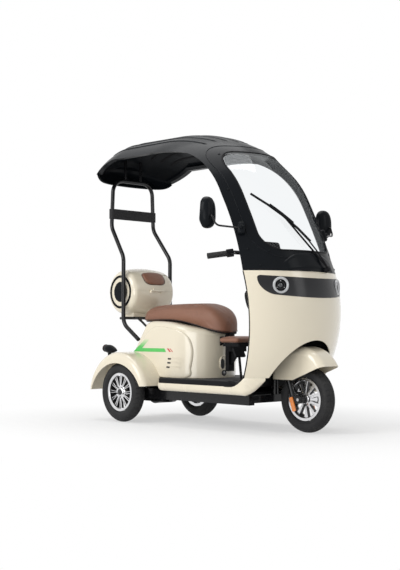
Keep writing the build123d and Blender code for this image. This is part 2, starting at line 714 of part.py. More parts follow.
def under_seat(lift):
    """Everything under the curved seat line, raised by lift, seen from the side."""
    line = ThreePointArc(*[(y, z + lift) for y, z in SEAT_LINE])
    front, rear = line @ 0, line @ 1
    points = [rear, Vector(SEAT_FLAT_Y, rear.Y), Vector(SEAT_FLAT_Y, 0), Vector(front.X, 0), front]
    return side_slab(make_face([line, *[Line(points[k], points[k + 1]) for k in range(4)]]), -LENGTH, LENGTH)


def before_slope(back):
    """Everything ahead of the body's rear slope, seen from the side."""
    low = slope_point(SLOPE_LOW[1], back)
    top = slope_point(800.0, back)
    face = make_face(Polyline((-LENGTH, 0), (low[0], 0), low, top, (-LENGTH, 800.0), close=True))
    return side_slab(face, -LENGTH, LENGTH)


def box_plan(inset):
    """Plan of the seat box: a round nose and straight sides."""
    r = BOX_R - inset
    y = BOX_NOSE_Y + BOX_R
    nose = ThreePointArc((-r, y), (0, y - r), (r, y))
    rear = BOX_REAR_Y + 60
    return make_face([nose, Line((r, y), (r, rear)), Line((r, rear), (-r, rear)), Line((-r, rear), (-r, y))])


def box_outer():
    return plan_slab(box_plan(0), FLOOR_TOP_Z + SEAT_GAP, 700) & under_seat(0) & before_slope(0)


def seat_box():
    inner = plan_slab(box_plan(BOX_WALL), 0, 700) & before_slope(-BOX_WALL)
    hinge_y, hinge_z = SADDLE_HINGE
    ear_face = rounded([(hinge_y - 12, hinge_z - 22), (hinge_y + 32, hinge_z - 40), (hinge_y + 32, hinge_z),
                        (hinge_y - 12, hinge_z + 11)], [2, 2, 2, 9])
    ears = []
    for x0, x1 in ((-EAR_X1, -EAR_X0), (EAR_X0, EAR_X1)):
        ears.append(side_slab(ear_face, x0, x1))
    pin = x_rod(-EAR_X1, EAR_X1, *SADDLE_HINGE, PIN_R)
    shell = box_outer() - inner
    ears = [ear - inner for ear in ears]
    add("seat_box", shell.fuse(*ears, pin))

    outline = rounded(
        [(46, 273), (12, 420), (70, 528), (300, 590), SLOPE_TOP, SLOPE_LOW, (560, 273)],
        [16, 90, 90, 60, 16, 16, 10],
    )
    cover = side_slab(outline, COVER_IN_X, COVER_X)
    outer_edges = cover.edges().filter_by_position(Axis.X, COVER_X - 0.01, COVER_X + 0.01)
    cover = fillet(outer_edges, COVER_ROUND)
    add("side_cover_left", cover)
    add("side_cover_right", other(cover))


def saddle_plan(inset):
    """Plan of the saddle: wide at the rear, narrower at the nose."""
    half = SADDLE_HALF_W - inset
    nose = SADDLE_NOSE_HALF_W - inset
    front = SADDLE_NOSE_Y + inset
    rear = SADDLE_REAR_Y - inset
    waist = SADDLE_WAIST_Y
    points = [(-nose, front), (nose, front), (half, waist), (half, rear), (-half, rear), (-half, waist)]
    radii = [96 - inset, 96 - inset, 200, 90 - inset, 90 - inset, 200]
    return plan_slab(rounded(points, radii), 400, 800)


def saddle():
    low = SEAT_GAP + SADDLE_PAN_T
    hinge_y, hinge_z = SADDLE_HINGE
    notch = block(-EAR_X1 - 6, EAR_X1 + 6, -200, hinge_y + 40, 400, hinge_z + 17)
    pan = (saddle_plan(6) & under_seat(low)) - under_seat(SEAT_GAP) - notch
    lug_half = EAR_X0 - 0.5
    lug = side_slab(
        rounded([(hinge_y - 9, hinge_z - 9), (hinge_y + 7, hinge_z - 9), (hinge_y + 14, hinge_z + 4),
                 (hinge_y + 62, hinge_z + 7), (hinge_y + 62, hinge_z + 15), (hinge_y - 6, hinge_z + 16)],
                [5, 4, 2, 1, 1, 6]),
        -lug_half, lug_half,
    )
    bore = x_rod(-EAR_X0, EAR_X0, hinge_y, hinge_z, PIN_R + RUN_FIT)
    add("saddle_pan", pan.fuse(lug) - bore)

    profile = side_slab(
        rounded([(SADDLE_NOSE_Y, 505), (0, 480), (SADDLE_REAR_Y, 480), (SADDLE_REAR_Y, SADDLE_TOP_Z - 4),
                 (90, SADDLE_TOP_Z), (SADDLE_NOSE_Y, 590)], [20, 5, 5, 60, 130, 50]), -LENGTH, LENGTH)
    room = block(-lug_half - 1, lug_half + 1, -200, hinge_y + 64, 400, hinge_z + 18)
    add("saddle_cushion", (saddle_plan(0) & profile) - under_seat(low + SEAT_GAP) - notch - room)


# Child seat

BASE_T = 18.0
ARM_Z = 430.0


def child_seat():
    low = CHILD_TOP_Z - CHILD_T
    outline = centred(CHILD_HALF_W, CHILD_FRONT_Y, CHILD_REAR_Y, CHILD_CORNER_R)
    cushion = plan_slab(outline, low, CHILD_TOP_Z)
    cushion = fillet(cushion.edges().filter_by_position(Axis.Z, CHILD_TOP_Z - 0.1, CHILD_TOP_Z + 0.1), 12)
    add("child_seat_cushion", cushion)

    base = plan_slab(offset(outline, -6), low - BASE_T, low - SEAT_GAP)
    arm = block(-22, 22, CHILD_FRONT_Y + 60, BOX_NOSE_Y + 30, ARM_Z - 12, low - BASE_T)
    post = block(-22, 22, BOX_NOSE_Y - 26, BOX_NOSE_Y + 30, FLOOR_TOP_Z + 40, ARM_Z)
    gusset = side_slab(
        make_face(Polyline((BOX_NOSE_Y - 26, ARM_Z), (BOX_NOSE_Y - 26, ARM_Z - 90), (CHILD_FRONT_Y + 70, ARM_Z),
                           close=True)), -4, 4)
    add("child_seat_bracket", base.fuse(arm, post, gusset) - box_outer())


# Rear fenders, tail panel and signals

FENDER_OPEN_TOP_Z = 345.0
FENDER_EDGE_W = 27.0
FENDER_ROUND = 38.0
POD = (56.0, 120.0, 36.0)
POD_PLACE = (288.0, 655.0, 414.0)


def fender_face(front, top, rear):
    """Side outline of a fender: one arc over the wheel, closed below."""
    arc = ThreePointArc(front, top, rear)
    return make_face([arc, Line(rear, front)])


def fender_outer():
    top = ((FENDER_FRONT[0] + FENDER_REAR[0]) / 2, FENDER_TOP_Z)
    body = side_slab(fender_face(FENDER_FRONT, top, FENDER_REAR), FENDER_IN_X, FENDER_OUT_X)
    edge = body.edges().filter_by_position(Axis.X, FENDER_OUT_X - 0.1, FENDER_OUT_X + 0.1).sort_by(Axis.Z)[-1]
    return fillet(edge, FENDER_ROUND)


def rear_fender():
    middle = (FENDER_FRONT[0] + FENDER_REAR[0]) / 2
    front = (FENDER_FRONT[0] + PANEL, FENDER_FRONT[1] - 30)
    rear = (FENDER_REAR[0] - PANEL, FENDER_REAR[1] - 30)
    hollow = side_slab(fender_face(front, (middle, FENDER_TOP_Z - PANEL), rear),
                       FENDER_IN_X + PANEL, FENDER_OUT_X - PANEL)
    edge = hollow.edges().filter_by_position(Axis.X, FENDER_OUT_X - PANEL - 0.1, FENDER_OUT_X - PANEL + 0.1)
    hollow = fillet(edge.sort_by(Axis.Z)[-1], FENDER_ROUND - PANEL)
    low_front = (FENDER_FRONT[0] + FENDER_EDGE_W, FENDER_FRONT[1] - 20)
    low_rear = (FENDER_REAR[0] - FENDER_EDGE_W, FENDER_REAR[1] - 20)
    opening = side_slab(fender_face(low_front, (middle, FENDER_OPEN_TOP_Z), low_rear),
                        FENDER_IN_X - 10, FENDER_OUT_X + 10)
    return fender_outer() - hollow - opening


def rear_body():
    skin = rear_fender()
    add("rear_fender_left", skin)
    add("rear_fender_right", other(skin))

    half = FENDER_IN_X - SEAT_GAP
    back = SLOPE_LOW[0] + 16
    outline = FilletPolyline((back, 404), (640, 400), (742, 356), (752, 205), radius=[60, 40])
    inner = FilletPolyline((back, 399), (639, 395), (737, 352), (747, 205), radius=[55, 35])
    face = make_face([outline, inner, Line(outline @ 0, inner @ 0), Line(outline @ 1, inner @ 1)])
    add("tail_panel", side_slab(face, -half, half))

    pod = Pos(*POD_PLACE) * Box(*POD)
    pod = fillet(pod.edges().filter_by(Axis.Y), 14)
    nose_y = POD_PLACE[1] - POD[1] / 2
    pod = fillet(pod.edges().filter_by_position(Axis.Y, nose_y - 0.1, nose_y + 0.1), 10)
    stalk = Pos(POD_PLACE[0], POD_PLACE[1] - 10, POD_PLACE[2] - 40) * Box(26, 40, 70)
    signal = pod.fuse(stalk) - fender_outer()
    add("rear_signals", signal, other(signal))


# Tail box

KNUCKLE_R = 7.0
TAIL_HINGE = (TAIL_Y - TAIL_R - KNUCKLE_R - 1.0, TAIL_PART_Z)
KNUCKLE_HALF = 30.0
LID_GAP = 0.6
DISC_R = 62.0
TRIM_IN_R = 88.0
TRIM_OUT_R = 102.0
PAD_HALF_W = 91.0
PAD_LOW_Z = 816.0
PAD_TOP_Z = 892.0
PAD_T = 15.0
TAIL_FOOT = (110.0, 60.0)


def barrel(grow):
    """The tail box's outer form, or an inset of it, about its own axis."""
    shoulder_x = TAIL_HALF_W - 33
    shoulder_r = TAIL_R - 12
    crown = ThreePointArc((-shoulder_x, shoulder_r + grow), (0, TAIL_R + grow), (shoulder_x, shoulder_r + grow))
    edges = [crown]
    for sign, k in ((-1, 0), (1, 1)):
        end_x = sign * (TAIL_HALF_W + grow)
        bulge = (sign * (TAIL_HALF_W - 9 + grow), TAIL_R - 26 + grow)
        corner = ThreePointArc(crown @ k, bulge, (end_x, TAIL_R - 44))
        edges += [corner, Line(corner @ 1, (end_x, 0))]
    edges.append(Line(edges[2] @ 1, edges[4] @ 1))
    return Pos(0, TAIL_Y, TAIL_Z) * revolve(make_face(edges), axis=Axis.X)


def end_trims():
    """Dark disc and ring on each end of the barrel."""
    solids = []
    for sign in (-1, 1):
        x0, x1 = sorted((sign * TAIL_HALF_W, sign * (TAIL_HALF_W + 3)))
        disc = x_rod(x0, x1, TAIL_Y, TAIL_Z, DISC_R)
        ring = x_rod(x0, x1, TAIL_Y, TAIL_Z, TRIM_OUT_R) - x_rod(x0, x1, TAIL_Y, TAIL_Z, TRIM_IN_R)
        solids += [disc, ring]
    return solids


def tail_box():
    shell = barrel(0) - barrel(-TAIL_WALL)
    below = block(-LENGTH, LENGTH, 0, LENGTH, 0, TAIL_PART_Z)
    above = block(-LENGTH, LENGTH, 0, LENGTH, TAIL_PART_Z + LID_GAP, SKY_Z)
    foot_x, foot_y = TAIL_FOOT
    foot_low = RACK_Z + RACK_R + SEAT_GAP
    foot = block(-foot_x, foot_x, TAIL_Y - foot_y, TAIL_Y + foot_y, foot_low, TAIL_Z - 90) - barrel(-1)
    y, z = TAIL_HINGE
    knuckles = []
    for sign in (-1, 1):
        x0, x1 = sorted((sign * KNUCKLE_HALF, sign * (KNUCKLE_HALF + 22)))
        wing = block(x0, x1, y, y + 20, z - 14, z - 2) - barrel(-1)
        knuckles += [x_rod(x0, x1, y, z, KNUCKLE_R), wing]
    knuckles.append(x_rod(-KNUCKLE_HALF - 1, KNUCKLE_HALF + 1, y, z, PIN_R - 1))
    add("tail_box_shell", (shell & below).fuse(foot, *knuckles))

    inner_half = KNUCKLE_HALF - 0.5
    leaf = block(-inner_half, inner_half, y, y + 20, z + 2, z + 14) - barrel(-1)
    lid = (shell & above).fuse(x_rod(-inner_half, inner_half, y, z, KNUCKLE_R), leaf)
    add("tail_box_lid", lid - x_rod(-inner_half - 1, inner_half + 1, y, z, PIN_R - 1 + RUN_FIT))

    trims = end_trims()
    add("tail_box_trim", *[trim & below for trim in trims])
    add("tail_lid_trim", *[trim & above for trim in trims])

    pad_zone = block(-PAD_HALF_W, PAD_HALF_W, 0, TAIL_Y, PAD_LOW_Z, PAD_TOP_Z)
    add("backrest_pad", (barrel(PAD_T) - barrel(SEAT_GAP)) & pad_zone)


# Mirrors and wiper

MIRROR = (461.0, -391.0, 1149.0)
MIRROR_TURN = 12.0
MIRROR_H = 166.0
MIRROR_LOW_W = 112.0
MIRROR_TOP_W = 86.0
MIRROR_RIM = 12.0
MIRROR_BACK = 22.0
BRACKET_S = 300.0
BRACKET_ANGLE = 43.0
WIPER_PIVOT = (14.0, 11.0)
WIPER_JOINT = (336.0, -14.2)
WIPER_BLADE = [(483.0, -29.6), (400.0, -21.0), (330.0, -13.5), (250.0, -5.0), (175.0, 2.8)]


def arch_plane(s, angle, out):
    """A plane on the screen's outer face: s along the crown, angle from the middle, raised by out."""
    for y, z, tilt, length, turn in crown_frames():
        if s <= length:
            break
        s -= length
    bend = length / radians(turn)
    t = radians(tilt)
    centre = Vector(0, y + bend * sin(t), z - bend * cos(t))
    t -= s / bend
    up = Vector(0, -sin(t), cos(t))
    a = radians(angle)
    normal = up * cos(a) + Vector(sin(a), 0, 0)
    middle = centre + up * (bend - ARCH_R)
    return Plane(origin=middle + normal * (ARCH_R + out), z_dir=normal)


def mirrors():
    low = MIRROR_LOW_W / 2
    top = MIRROR_TOP_W / 2
    half = MIRROR_H / 2
    egg = rounded([(-low, -half), (low, -half), (top, half), (-top, half)], [50, 50, 38, 38])
    place = Pos(*MIRROR) * Rot(0, 0, MIRROR_TURN)
    rim_part = extrude(Plane.XZ * egg, MIRROR_RIM)
    back = Pos(0, -MIRROR_RIM, 0) * extrude(Plane.XZ * egg, MIRROR_BACK, taper=38)
    glass_face = offset(egg, -5)
    recess = Pos(0, 1, 0) * extrude(Plane.XZ * glass_face, 4)
    shell = place * (rim_part.fuse(back) - recess)
    glass = place * (Pos(0, -0.5, 0) * extrude(Plane.XZ * offset(egg, -5 - SEAT_GAP), 2.2))
    add("mirror_shells", shell, other(shell))
    add("mirror_glasses", glass, other(glass))

    seat = arch_plane(BRACKET_S, BRACKET_ANGLE, SEAT_GAP)
    boss = seat * Cylinder(15, 16, align=(Align.CENTER, Align.CENTER, Align.MIN))
    start = seat.origin + seat.z_dir * 10
    depth = -MIRROR_RIM - MIRROR_BACK - SEAT_GAP
    end = (place * Pos(0, depth, -20)).position
    before = (place * Pos(0, depth - 16, -20)).position
    bend = Vector(end.X - 6, end.Y - 40, end.Z - 52)
    arm = tube([tuple(start), tuple(bend), tuple(before), tuple(end)], [30, 9], 5)
    arm = boss.fuse(arm)
    add("mirror_arms", arm, other(arm))


def wiper():
    pivot = arch_plane(*WIPER_PIVOT, SEAT_GAP)
    boss = pivot * Cylinder(13, 28, align=(Align.CENTER, Align.CENTER, Align.MIN))
    arm_start = arch_plane(*WIPER_PIVOT, 22)
    arm_end = arch_plane(*WIPER_JOINT, 17)
    arm = rod(tuple(arm_start.origin), tuple(arm_end.origin), 5)
    foot = arch_plane(*WIPER_JOINT, 6) * Cylinder(4.5, 12, align=(Align.CENTER, Align.CENTER, Align.MIN))
    points = [tuple(arch_plane(s, angle, 7).origin) for s, angle in WIPER_BLADE]
    blade = tube(points, [60, 60, 60], 4.2)
    add("wiper", boss.fuse(arm, foot, blade))


# Steering

LEG_X = 58.0
LEG_R = 14.0
LEG_BACK = 20.0
LEG_LOW_Z = 122.0
LUG_R = 17.0
HANGER_X = (-18.0, 18.0)
HANGER_Y = (FRONT_AXLE_Y + 103.0, FRONT_AXLE_Y + 135.0)
HANGER_Z = (380.0, 535.0)
CROWN_T = 28.0
CROWN_HALF_W = 76.0
CROWN_LEN = 74.0
STEERER_TOP_Z = 930.0
FRONT_FENDER = [(-838.0, 352.0), (-662.0, 452.0), (-478.0, 296.0)]
FENDER_KEEP = [(-936.0, 389.6), (-640.0, 276.0), (-400.0, 276.0), (-400.0, 600.0), (-936.0, 600.0)]
FRONT_FENDER_HALF = 82.0
FRONT_FENDER_T = 4.0
FRONT_FENDER_ROUND = 42.0
GRIP_END = (310.0, -240.0, 938.0)
GRIP_START = (188.0, -318.0, 959.0)
BAR_MIDDLE_X = 80.0
BAR_R = 11.0
GRIP_R = 16.0
REFLECTOR = (24.0, 76.0)
REFLECTOR_Z = 150.0


def front_fender_body(inset):
    """Outer form of the front fender, or its hollow: a drum with round shoulders."""
    arc = ThreePointArc(*FRONT_FENDER)
    r = arc.radius - inset
    half = FRONT_FENDER_HALF - inset
    flat = half - FRONT_FENDER_ROUND + inset
    side = r - FRONT_FENDER_ROUND + inset
    bulge = (FRONT_FENDER_ROUND - inset) * sqrt(0.5)
    edges = [Line((-half, 0), (half, 0)), Line((-flat, r), (flat, r))]
    for sign in (-1, 1):
        edges.append(Line((sign * half, 0), (sign * half, side)))
        edges.append(ThreePointArc((sign * half, side), (sign * (flat + bulge), side + bulge), (sign * flat, r)))
    drum = revolve(make_face(edges), axis=Axis.X)
    return Pos(0, arc.arc_center.X, arc.arc_center.Y) * drum


def fork():
    up = Vector(*STEER_DIR)
    top = Vector(*steer_point(HEAD_LOW_Z)) - up * SEAT_GAP
    crown_plane = Plane(origin=top - up * CROWN_T, x_dir=(1, 0, 0), z_dir=STEER_DIR)
    crown = extrude(crown_plane * (Pos(0, 6) * RectangleRounded(2 * CROWN_HALF_W, CROWN_LEN, 20)), CROWN_T)
    steerer = rod(tuple(top - up * 5), steer_point(STEERER_TOP_Z), STEERER_R)
    parts = [crown, steerer]
    clearances = []
    lug = rounded([(FRONT_AXLE_Y - LUG_R, TYRE_R - LUG_R), (FRONT_AXLE_Y + 50, TYRE_R - 30),
                   (FRONT_AXLE_Y + 60, TYRE_R + 20), (FRONT_AXLE_Y - LUG_R, TYRE_R + LUG_R)], 12)
    for sign in (-1, 1):
        x = sign * LEG_X
        low = steer_point(LEG_LOW_Z, x, -LEG_BACK)
        high = Vector(*steer_point(HEAD_LOW_Z, x, -LEG_BACK))
        parts.append(rod(low, tuple(high - up * 8), LEG_R))
        parts.append(side_slab(lug, x - LEG_R, x + LEG_R))
        clearances.append(rod(low, tuple(high), LEG_R + 2))
    hanger = block(*HANGER_X, *HANGER_Y, *HANGER_Z) - front_fender_body(0)
    hanger = hanger.solids().sort_by(Axis.Z)[-1]
    whole = parts[0].fuse(*parts[1:], hanger)
    axle_hole = x_rod(-LENGTH, LENGTH, FRONT_AXLE_Y, TYRE_R, AXLE_R + RUN_FIT)
    add("front_fork", whole - axle_hole)
    ends = LEG_X + LEG_R + 8
    add("front_axle", x_rod(-ends, ends, FRONT_AXLE_Y, TYRE_R, AXLE_R))

    keep = side_slab(make_face(Polyline(*FENDER_KEEP, close=True)), -LENGTH, LENGTH)
    skin = (front_fender_body(0) - front_fender_body(FRONT_FENDER_T)) & keep
    add("front_fender", skin - clearances[0] - clearances[1])

    lamps = []
    for sign in (-1, 1):
        foot = Vector(*steer_point(REFLECTOR_Z, sign * (LEG_X + LEG_R + SEAT_GAP), -LEG_BACK))
        plane = Plane(origin=foot, x_dir=STEER_DIR, z_dir=(sign, 0, 0))
        lamps.append(extrude(plane * RectangleRounded(REFLECTOR[1], REFLECTOR[0], 6), 6))
    add("fork_reflectors", *lamps)


def handlebar():
    middle_z = STEERER_TOP_Z + 24
    middle = steer_point(middle_z)
    half = [GRIP_END, GRIP_START, (BAR_MIDDLE_X, middle[1], middle_z)]
    whole = half + [(-x, y, z) for x, y, z in reversed(half)]
    bar = tube(whole, [40, 40, 40, 40], BAR_R)
    clamp = rod(steer_point(STEERER_TOP_Z + SEAT_GAP), steer_point(middle_z + 16), 25)
    add("handlebar", bar.fuse(clamp))

    line = Vector(*GRIP_END) - Vector(*GRIP_START)
    unit = line.normalized()
    grips, housings, levers = [], [], []
    for sign in (-1, 1):
        def at(distance, lift=0.0, ahead=0.0):
            point = Vector(*GRIP_END) - unit * distance
            return (sign * point.X, point.Y - ahead, point.Z + lift)
        hole = rod(at(-5), at(line.length + 30), BAR_R + SEAT_GAP)
        grips.append(rod(at(-3), at(104), GRIP_R) - hole)
        housings.append(rod(at(104.5), at(140), 22) - hole)
        levers.append(tube([at(124, 0, 27), at(112, -6, 62), at(20, -6, 52)], 20, 5))
    add("grips", *grips)
    add("switch_housings", *housings)
    add("brake_levers", *levers)

    seat = Plane(origin=steer_point(middle_z + 16 + SEAT_GAP), x_dir=(1, 0, 0), z_dir=STEER_DIR)
    pod = extrude(seat * RectangleRounded(176, 96, 26), 42)
    top = pod.faces().sort_by(Axis.Z)[-1]
    add("instrument_pod", fillet(top.edges(), 12))


# Foot brake

PEDAL = (-200.0, -364.0, 418.0)


def brake_pedal():
    arm = rod((PEDAL[0], PEDAL[1] - 20, FLOOR_TOP_Z + 1.2), PEDAL, 7)
    pad = Pos(*PEDAL) * Rot(-28, 0, 0) * Box(72, 12, 52)
    add("brake_pedal", arm.fuse(pad))


for make in (wheels, rear_axle, trailing_arms, rear_dampers, frame, floor, leg_shield, screen_and_roof, rear_hoop,
             seat_box, saddle, child_seat, rear_body, tail_box, mirrors, wiper, fork, handlebar, brake_pedal):
    make()

os.makedirs("parts", exist_ok=True)
for node_name, node_shape in NODES.items():
    export_step(node_shape, f"parts/{node_name}.step")
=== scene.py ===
"""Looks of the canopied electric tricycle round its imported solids, in metres and in the part's own frame."""
import math

import bmesh
import bpy
from mathutils import Matrix, Vector


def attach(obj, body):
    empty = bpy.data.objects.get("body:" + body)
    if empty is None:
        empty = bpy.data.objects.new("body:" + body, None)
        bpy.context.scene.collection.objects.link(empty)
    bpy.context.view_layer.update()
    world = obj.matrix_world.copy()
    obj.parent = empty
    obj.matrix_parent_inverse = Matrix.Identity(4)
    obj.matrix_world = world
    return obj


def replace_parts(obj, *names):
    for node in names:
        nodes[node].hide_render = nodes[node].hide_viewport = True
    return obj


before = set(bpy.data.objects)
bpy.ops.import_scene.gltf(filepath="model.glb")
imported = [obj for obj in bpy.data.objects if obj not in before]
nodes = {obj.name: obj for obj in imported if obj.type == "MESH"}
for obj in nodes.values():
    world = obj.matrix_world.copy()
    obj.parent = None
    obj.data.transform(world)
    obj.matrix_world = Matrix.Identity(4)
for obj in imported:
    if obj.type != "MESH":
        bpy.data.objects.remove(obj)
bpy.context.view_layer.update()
scene = bpy.context.scene


# Shader values

class Shade:
    """A shader value: it wraps an output socket, and its operators add Math nodes."""

    def __init__(self, tree, socket):
        self.tree = tree
        self.socket = socket

    def add(self, kind, out=0, settings=(), **links):
        """Any node by its type, its settings, and the values or links of its sockets."""
        node = self.tree.nodes.new("ShaderNode" + kind)
        for key, value in dict(settings).items():
            setattr(node, key, value)
        for key, value in links.items():
            socket = node.inputs[int(key[2:])] if key[2:].isdigit() else node.inputs[key.replace("_", " ")]
            if isinstance(value, Shade):
                self.tree.links.new(value.socket, socket)
            else:
                socket.default_value = value
        return Shade(self.tree, node.outputs[out])

    def maths(self, operation, first, second=0.0):
        return self.add("Math", settings={"operation": operation}, in0=first, in1=second)

    def __add__(self, other):
        return self.maths("ADD", self, other)

    __radd__ = __add__

    def __sub__(self, other):
        return self.maths("SUBTRACT", self, other)

    def __rsub__(self, other):
        return self.maths("SUBTRACT", other, self)

    def __mul__(self, other):
        return self.maths("MULTIPLY", self, other)

    __rmul__ = __mul__

    def ease(self, low, high):
        """0 below low, 1 above high, smooth between."""
        smooth = {"interpolation_type": "SMOOTHSTEP"}
        return self.add("MapRange", settings=smooth, Value=self, From_Min=low, From_Max=high)

    def mix(self, first, second):
        """Between two colours, by this value."""
        return self.add("Mix", out=2, settings={"data_type": "RGBA"}, in0=self, in6=first, in7=second)

    def tint(self, dark, light):
        """Between two plain colours, by this value."""
        return self.mix((*dark, 1.0), (*light, 1.0))

    def waves(self, direction, scale):
        return self.add("TexWave", settings={"bands_direction": direction}, Vector=self, Scale=scale)

    def noise(self, scale, detail=3.0):
        return self.add("TexNoise", Vector=self, Scale=scale, Detail=detail)

    def cells(self, scale, feature="F1"):
        return self.add("TexVoronoi", settings={"feature": feature}, Vector=self, Scale=scale)

    def axis(self, letter):
        return self.add("SeparateXYZ", out="XYZ".index(letter), Vector=self)

    def bumped(self, strength, distance):
        return self.add("Bump", Height=self, Strength=strength, Distance=distance)


def finish(name, colour, rough, vary=None, **fixed):
    """A material: plain values on the shader's sockets, then what varies over the surface."""
    material = bpy.data.materials.new(name)
    material.use_nodes = True
    tree = material.node_tree
    shader = tree.nodes["Principled BSDF"]
    shader.inputs["Base Color"].default_value = (*colour, 1.0)
    shader.inputs["Roughness"].default_value = rough
    for key, value in fixed.items():
        shader.inputs[key.replace("_", " ")].default_value = value
    if vary:
        place = Shade(tree, tree.nodes.new("ShaderNodeTexCoord").outputs["Object"])
        for key, value in vary(place).items():
            tree.links.new(value.socket, shader.inputs[key.replace("_", " ")])
    return material


def cream_coat(p):
    cloud = p.noise(2.4)
    peel = p.noise(340.0, 1.0)
    road_dust = (1.0 - p.axis("Z").ease(0.12, 0.42)) * p.noise(9.0, 5.0).ease(0.42, 0.75)
    clean = cloud.tint((0.735, 0.665, 0.520), (0.765, 0.700, 0.560))
    colour = (road_dust * 0.22).mix(clean, (0.50, 0.44, 0.34, 1.0))
    rough = 0.2 + road_dust * 0.25 + cloud * 0.05
    return {"Base_Color": colour, "Roughness": rough, "Normal": peel.bumped(0.02, 0.0004)}


def bright_alloy(p):
    rings = p.noise(180.0, 2.0)
    cloud = p.noise(24.0, 3.0)
    colour = cloud.tint((0.62, 0.62, 0.635), (0.82, 0.82, 0.83))
    return {"Base_Color": colour, "Roughness": 0.12 + rings * 0.16, "Normal": rings.bumped(0.04, 0.0003)}


def brown_hide(p):
    pores = p.cells(330.0, "DISTANCE_TO_EDGE").ease(0.0, 0.22)
    crease = p.noise(60.0, 6.0)
    wear = p.noise(5.0, 4.0)
    height = pores * 0.7 + crease * 0.6
    colour = (wear * 0.7 + pores * 0.3).tint((0.165, 0.068, 0.039), (0.280, 0.130, 0.078))
    return {"Base_Color": colour, "Roughness": 0.46 + wear * 0.14, "Normal": height.bumped(0.28, 0.0009)}


def seat_piping(p):
    return {"Base_Color": p.noise(90.0).tint((0.030, 0.013, 0.009), (0.060, 0.026, 0.017))}


def smoked(p):
    # Painted glow: the band's colour is lighter low down and darker towards its top.
    painted_glow = p.axis("Z").ease(0.69, 0.80)
    cloud = p.noise(9.0, 2.0)
    colour = (painted_glow * 0.6 + cloud * 0.3).tint((0.030, 0.031, 0.033), (0.012, 0.012, 0.014))
    return {"Base_Color": colour, "Roughness": 0.16 + cloud * 0.06}


def film_green(p):
    fade = p.axis("Z").ease(0.436, 0.482)
    colour = fade.tint((0.090, 0.520, 0.110), (0.55, 0.66, 0.42))
    return {"Base_Color": colour, "Roughness": 0.3 + p.noise(30.0) * 0.1}


def film_red(p):
    colour = p.noise(20.0).tint((0.50, 0.010, 0.014), (0.62, 0.020, 0.022))
    return {"Base_Color": colour, "Roughness": 0.3 + p.noise(30.0) * 0.1}


def silvered(p):
    colour = p.noise(8.0).tint((0.78, 0.80, 0.82), (0.86, 0.88, 0.89))
    return {"Base_Color": colour, "Roughness": 0.02 + p.noise(3.0) * 0.03}


def clouds(scale, detail):
    return lambda p: p.noise(scale, detail)


def grains(scale):
    return lambda p: p.cells(scale)


def bands(direction, scale):
    return lambda p: p.waves(direction, scale)


def road_dirt(p):
    return p.noise(14.0, 6.0).ease(0.35, 0.8)


def weave(p):
    return p.waves("X", 170.0) * p.waves("Z", 210.0)


def drifting(pattern, dark, light, rough, spread, bump=None, relief=None):
    """A finish whose colour and gloss follow one pattern; bump raises it, or the relief if one is given."""
    def vary(p):
        drift = pattern(p)
        made = {"Base_Color": drift.tint(dark, light), "Roughness": rough + drift * spread}
        if bump:
            made["Normal"] = (relief(p) if relief else drift).bumped(*bump)
        return made
    return vary


black_coat = drifting(clouds(3.0, 5.0), (0.0040, 0.0050, 0.0065), (0.0070, 0.0085, 0.0105), 0.24, 0.14,
                      (0.03, 0.0006), clouds(38.0, 2.0))
moulded_black = drifting(clouds(6.0, 4.0), (0.006, 0.006, 0.007), (0.013, 0.013, 0.014), 0.42, 0.18,
                         (0.25, 0.0004), grains(620.0))
frame_coat = drifting(clouds(7.0, 4.0), (0.005, 0.005, 0.006), (0.011, 0.011, 0.012), 0.10, 0.12,
                      (0.08, 0.0003), clouds(700.0, 2.0))
tyre_rubber = drifting(road_dirt, (0.013, 0.013, 0.014), (0.032, 0.032, 0.032), 0.62, 0.25,
                       (0.18, 0.0005), clouds(420.0, 3.0))
floor_rubber = drifting(clouds(5.0, 5.0), (0.012, 0.012, 0.013), (0.030, 0.030, 0.031), 0.6, 0.2,
                        (0.4, 0.0006), grains(260.0))
dark_alloy = drifting(clouds(30.0, 4.0), (0.008, 0.008, 0.009), (0.020, 0.020, 0.021), 0.35, 0.25)
steel_scuffed = drifting(clouds(40.0, 4.0), (0.42, 0.42, 0.43), (0.62, 0.62, 0.63), 0.22, 0.2)
diffuser = drifting(clouds(60.0, 2.0), (0.40, 0.41, 0.42), (0.50, 0.51, 0.52), 0.28, 0.15)
display_pane = drifting(clouds(40.0, 1.0), (0.006, 0.008, 0.010), (0.016, 0.020, 0.024), 0.06, 0.05)
woven_web = drifting(weave, (0.008, 0.008, 0.009), (0.030, 0.030, 0.032), 0.75, 0.2, (0.5, 0.0008))
ribbed_grip = drifting(bands("X", 95.0), (0.008, 0.008, 0.008), (0.022, 0.022, 0.022), 0.6, 0.2,
                       (0.6, 0.0012))
amber_lens = drifting(bands("Z", 55.0), (0.70, 0.16, 0.010), (0.86, 0.28, 0.025), 0.12, 0.12, (0.3, 0.001))
red_lens = drifting(bands("X", 60.0), (0.34, 0.006, 0.006), (0.55, 0.015, 0.012), 0.1, 0.1, (0.3, 0.001))

CREAM = finish("cream_paint", (0.75, 0.68, 0.54), 0.22, cream_coat, Coat_Weight=0.6, Coat_Roughness=0.05)
BLACK = finish("black_body_plastic", (0.01, 0.011, 0.013), 0.28, black_coat,
               Specular_IOR_Level=0.05, Coat_Weight=0.05, Coat_Roughness=0.15)
MOULDED = finish("moulded_black_plastic", (0.010, 0.010, 0.011), 0.5, moulded_black,
                 Specular_IOR_Level=0.08)
FRAME_BLACK = finish("black_frame_paint", (0.008, 0.008, 0.009), 0.3, frame_coat,
                     Specular_IOR_Level=0.28, Coat_Weight=0.05)
TYRE = finish("tyre_rubber", (0.015, 0.015, 0.015), 0.75, tyre_rubber, Specular_IOR_Level=0.28)
ALLOY = finish("machined_alloy", (0.74, 0.74, 0.75), 0.2, bright_alloy, Metallic=1.0)
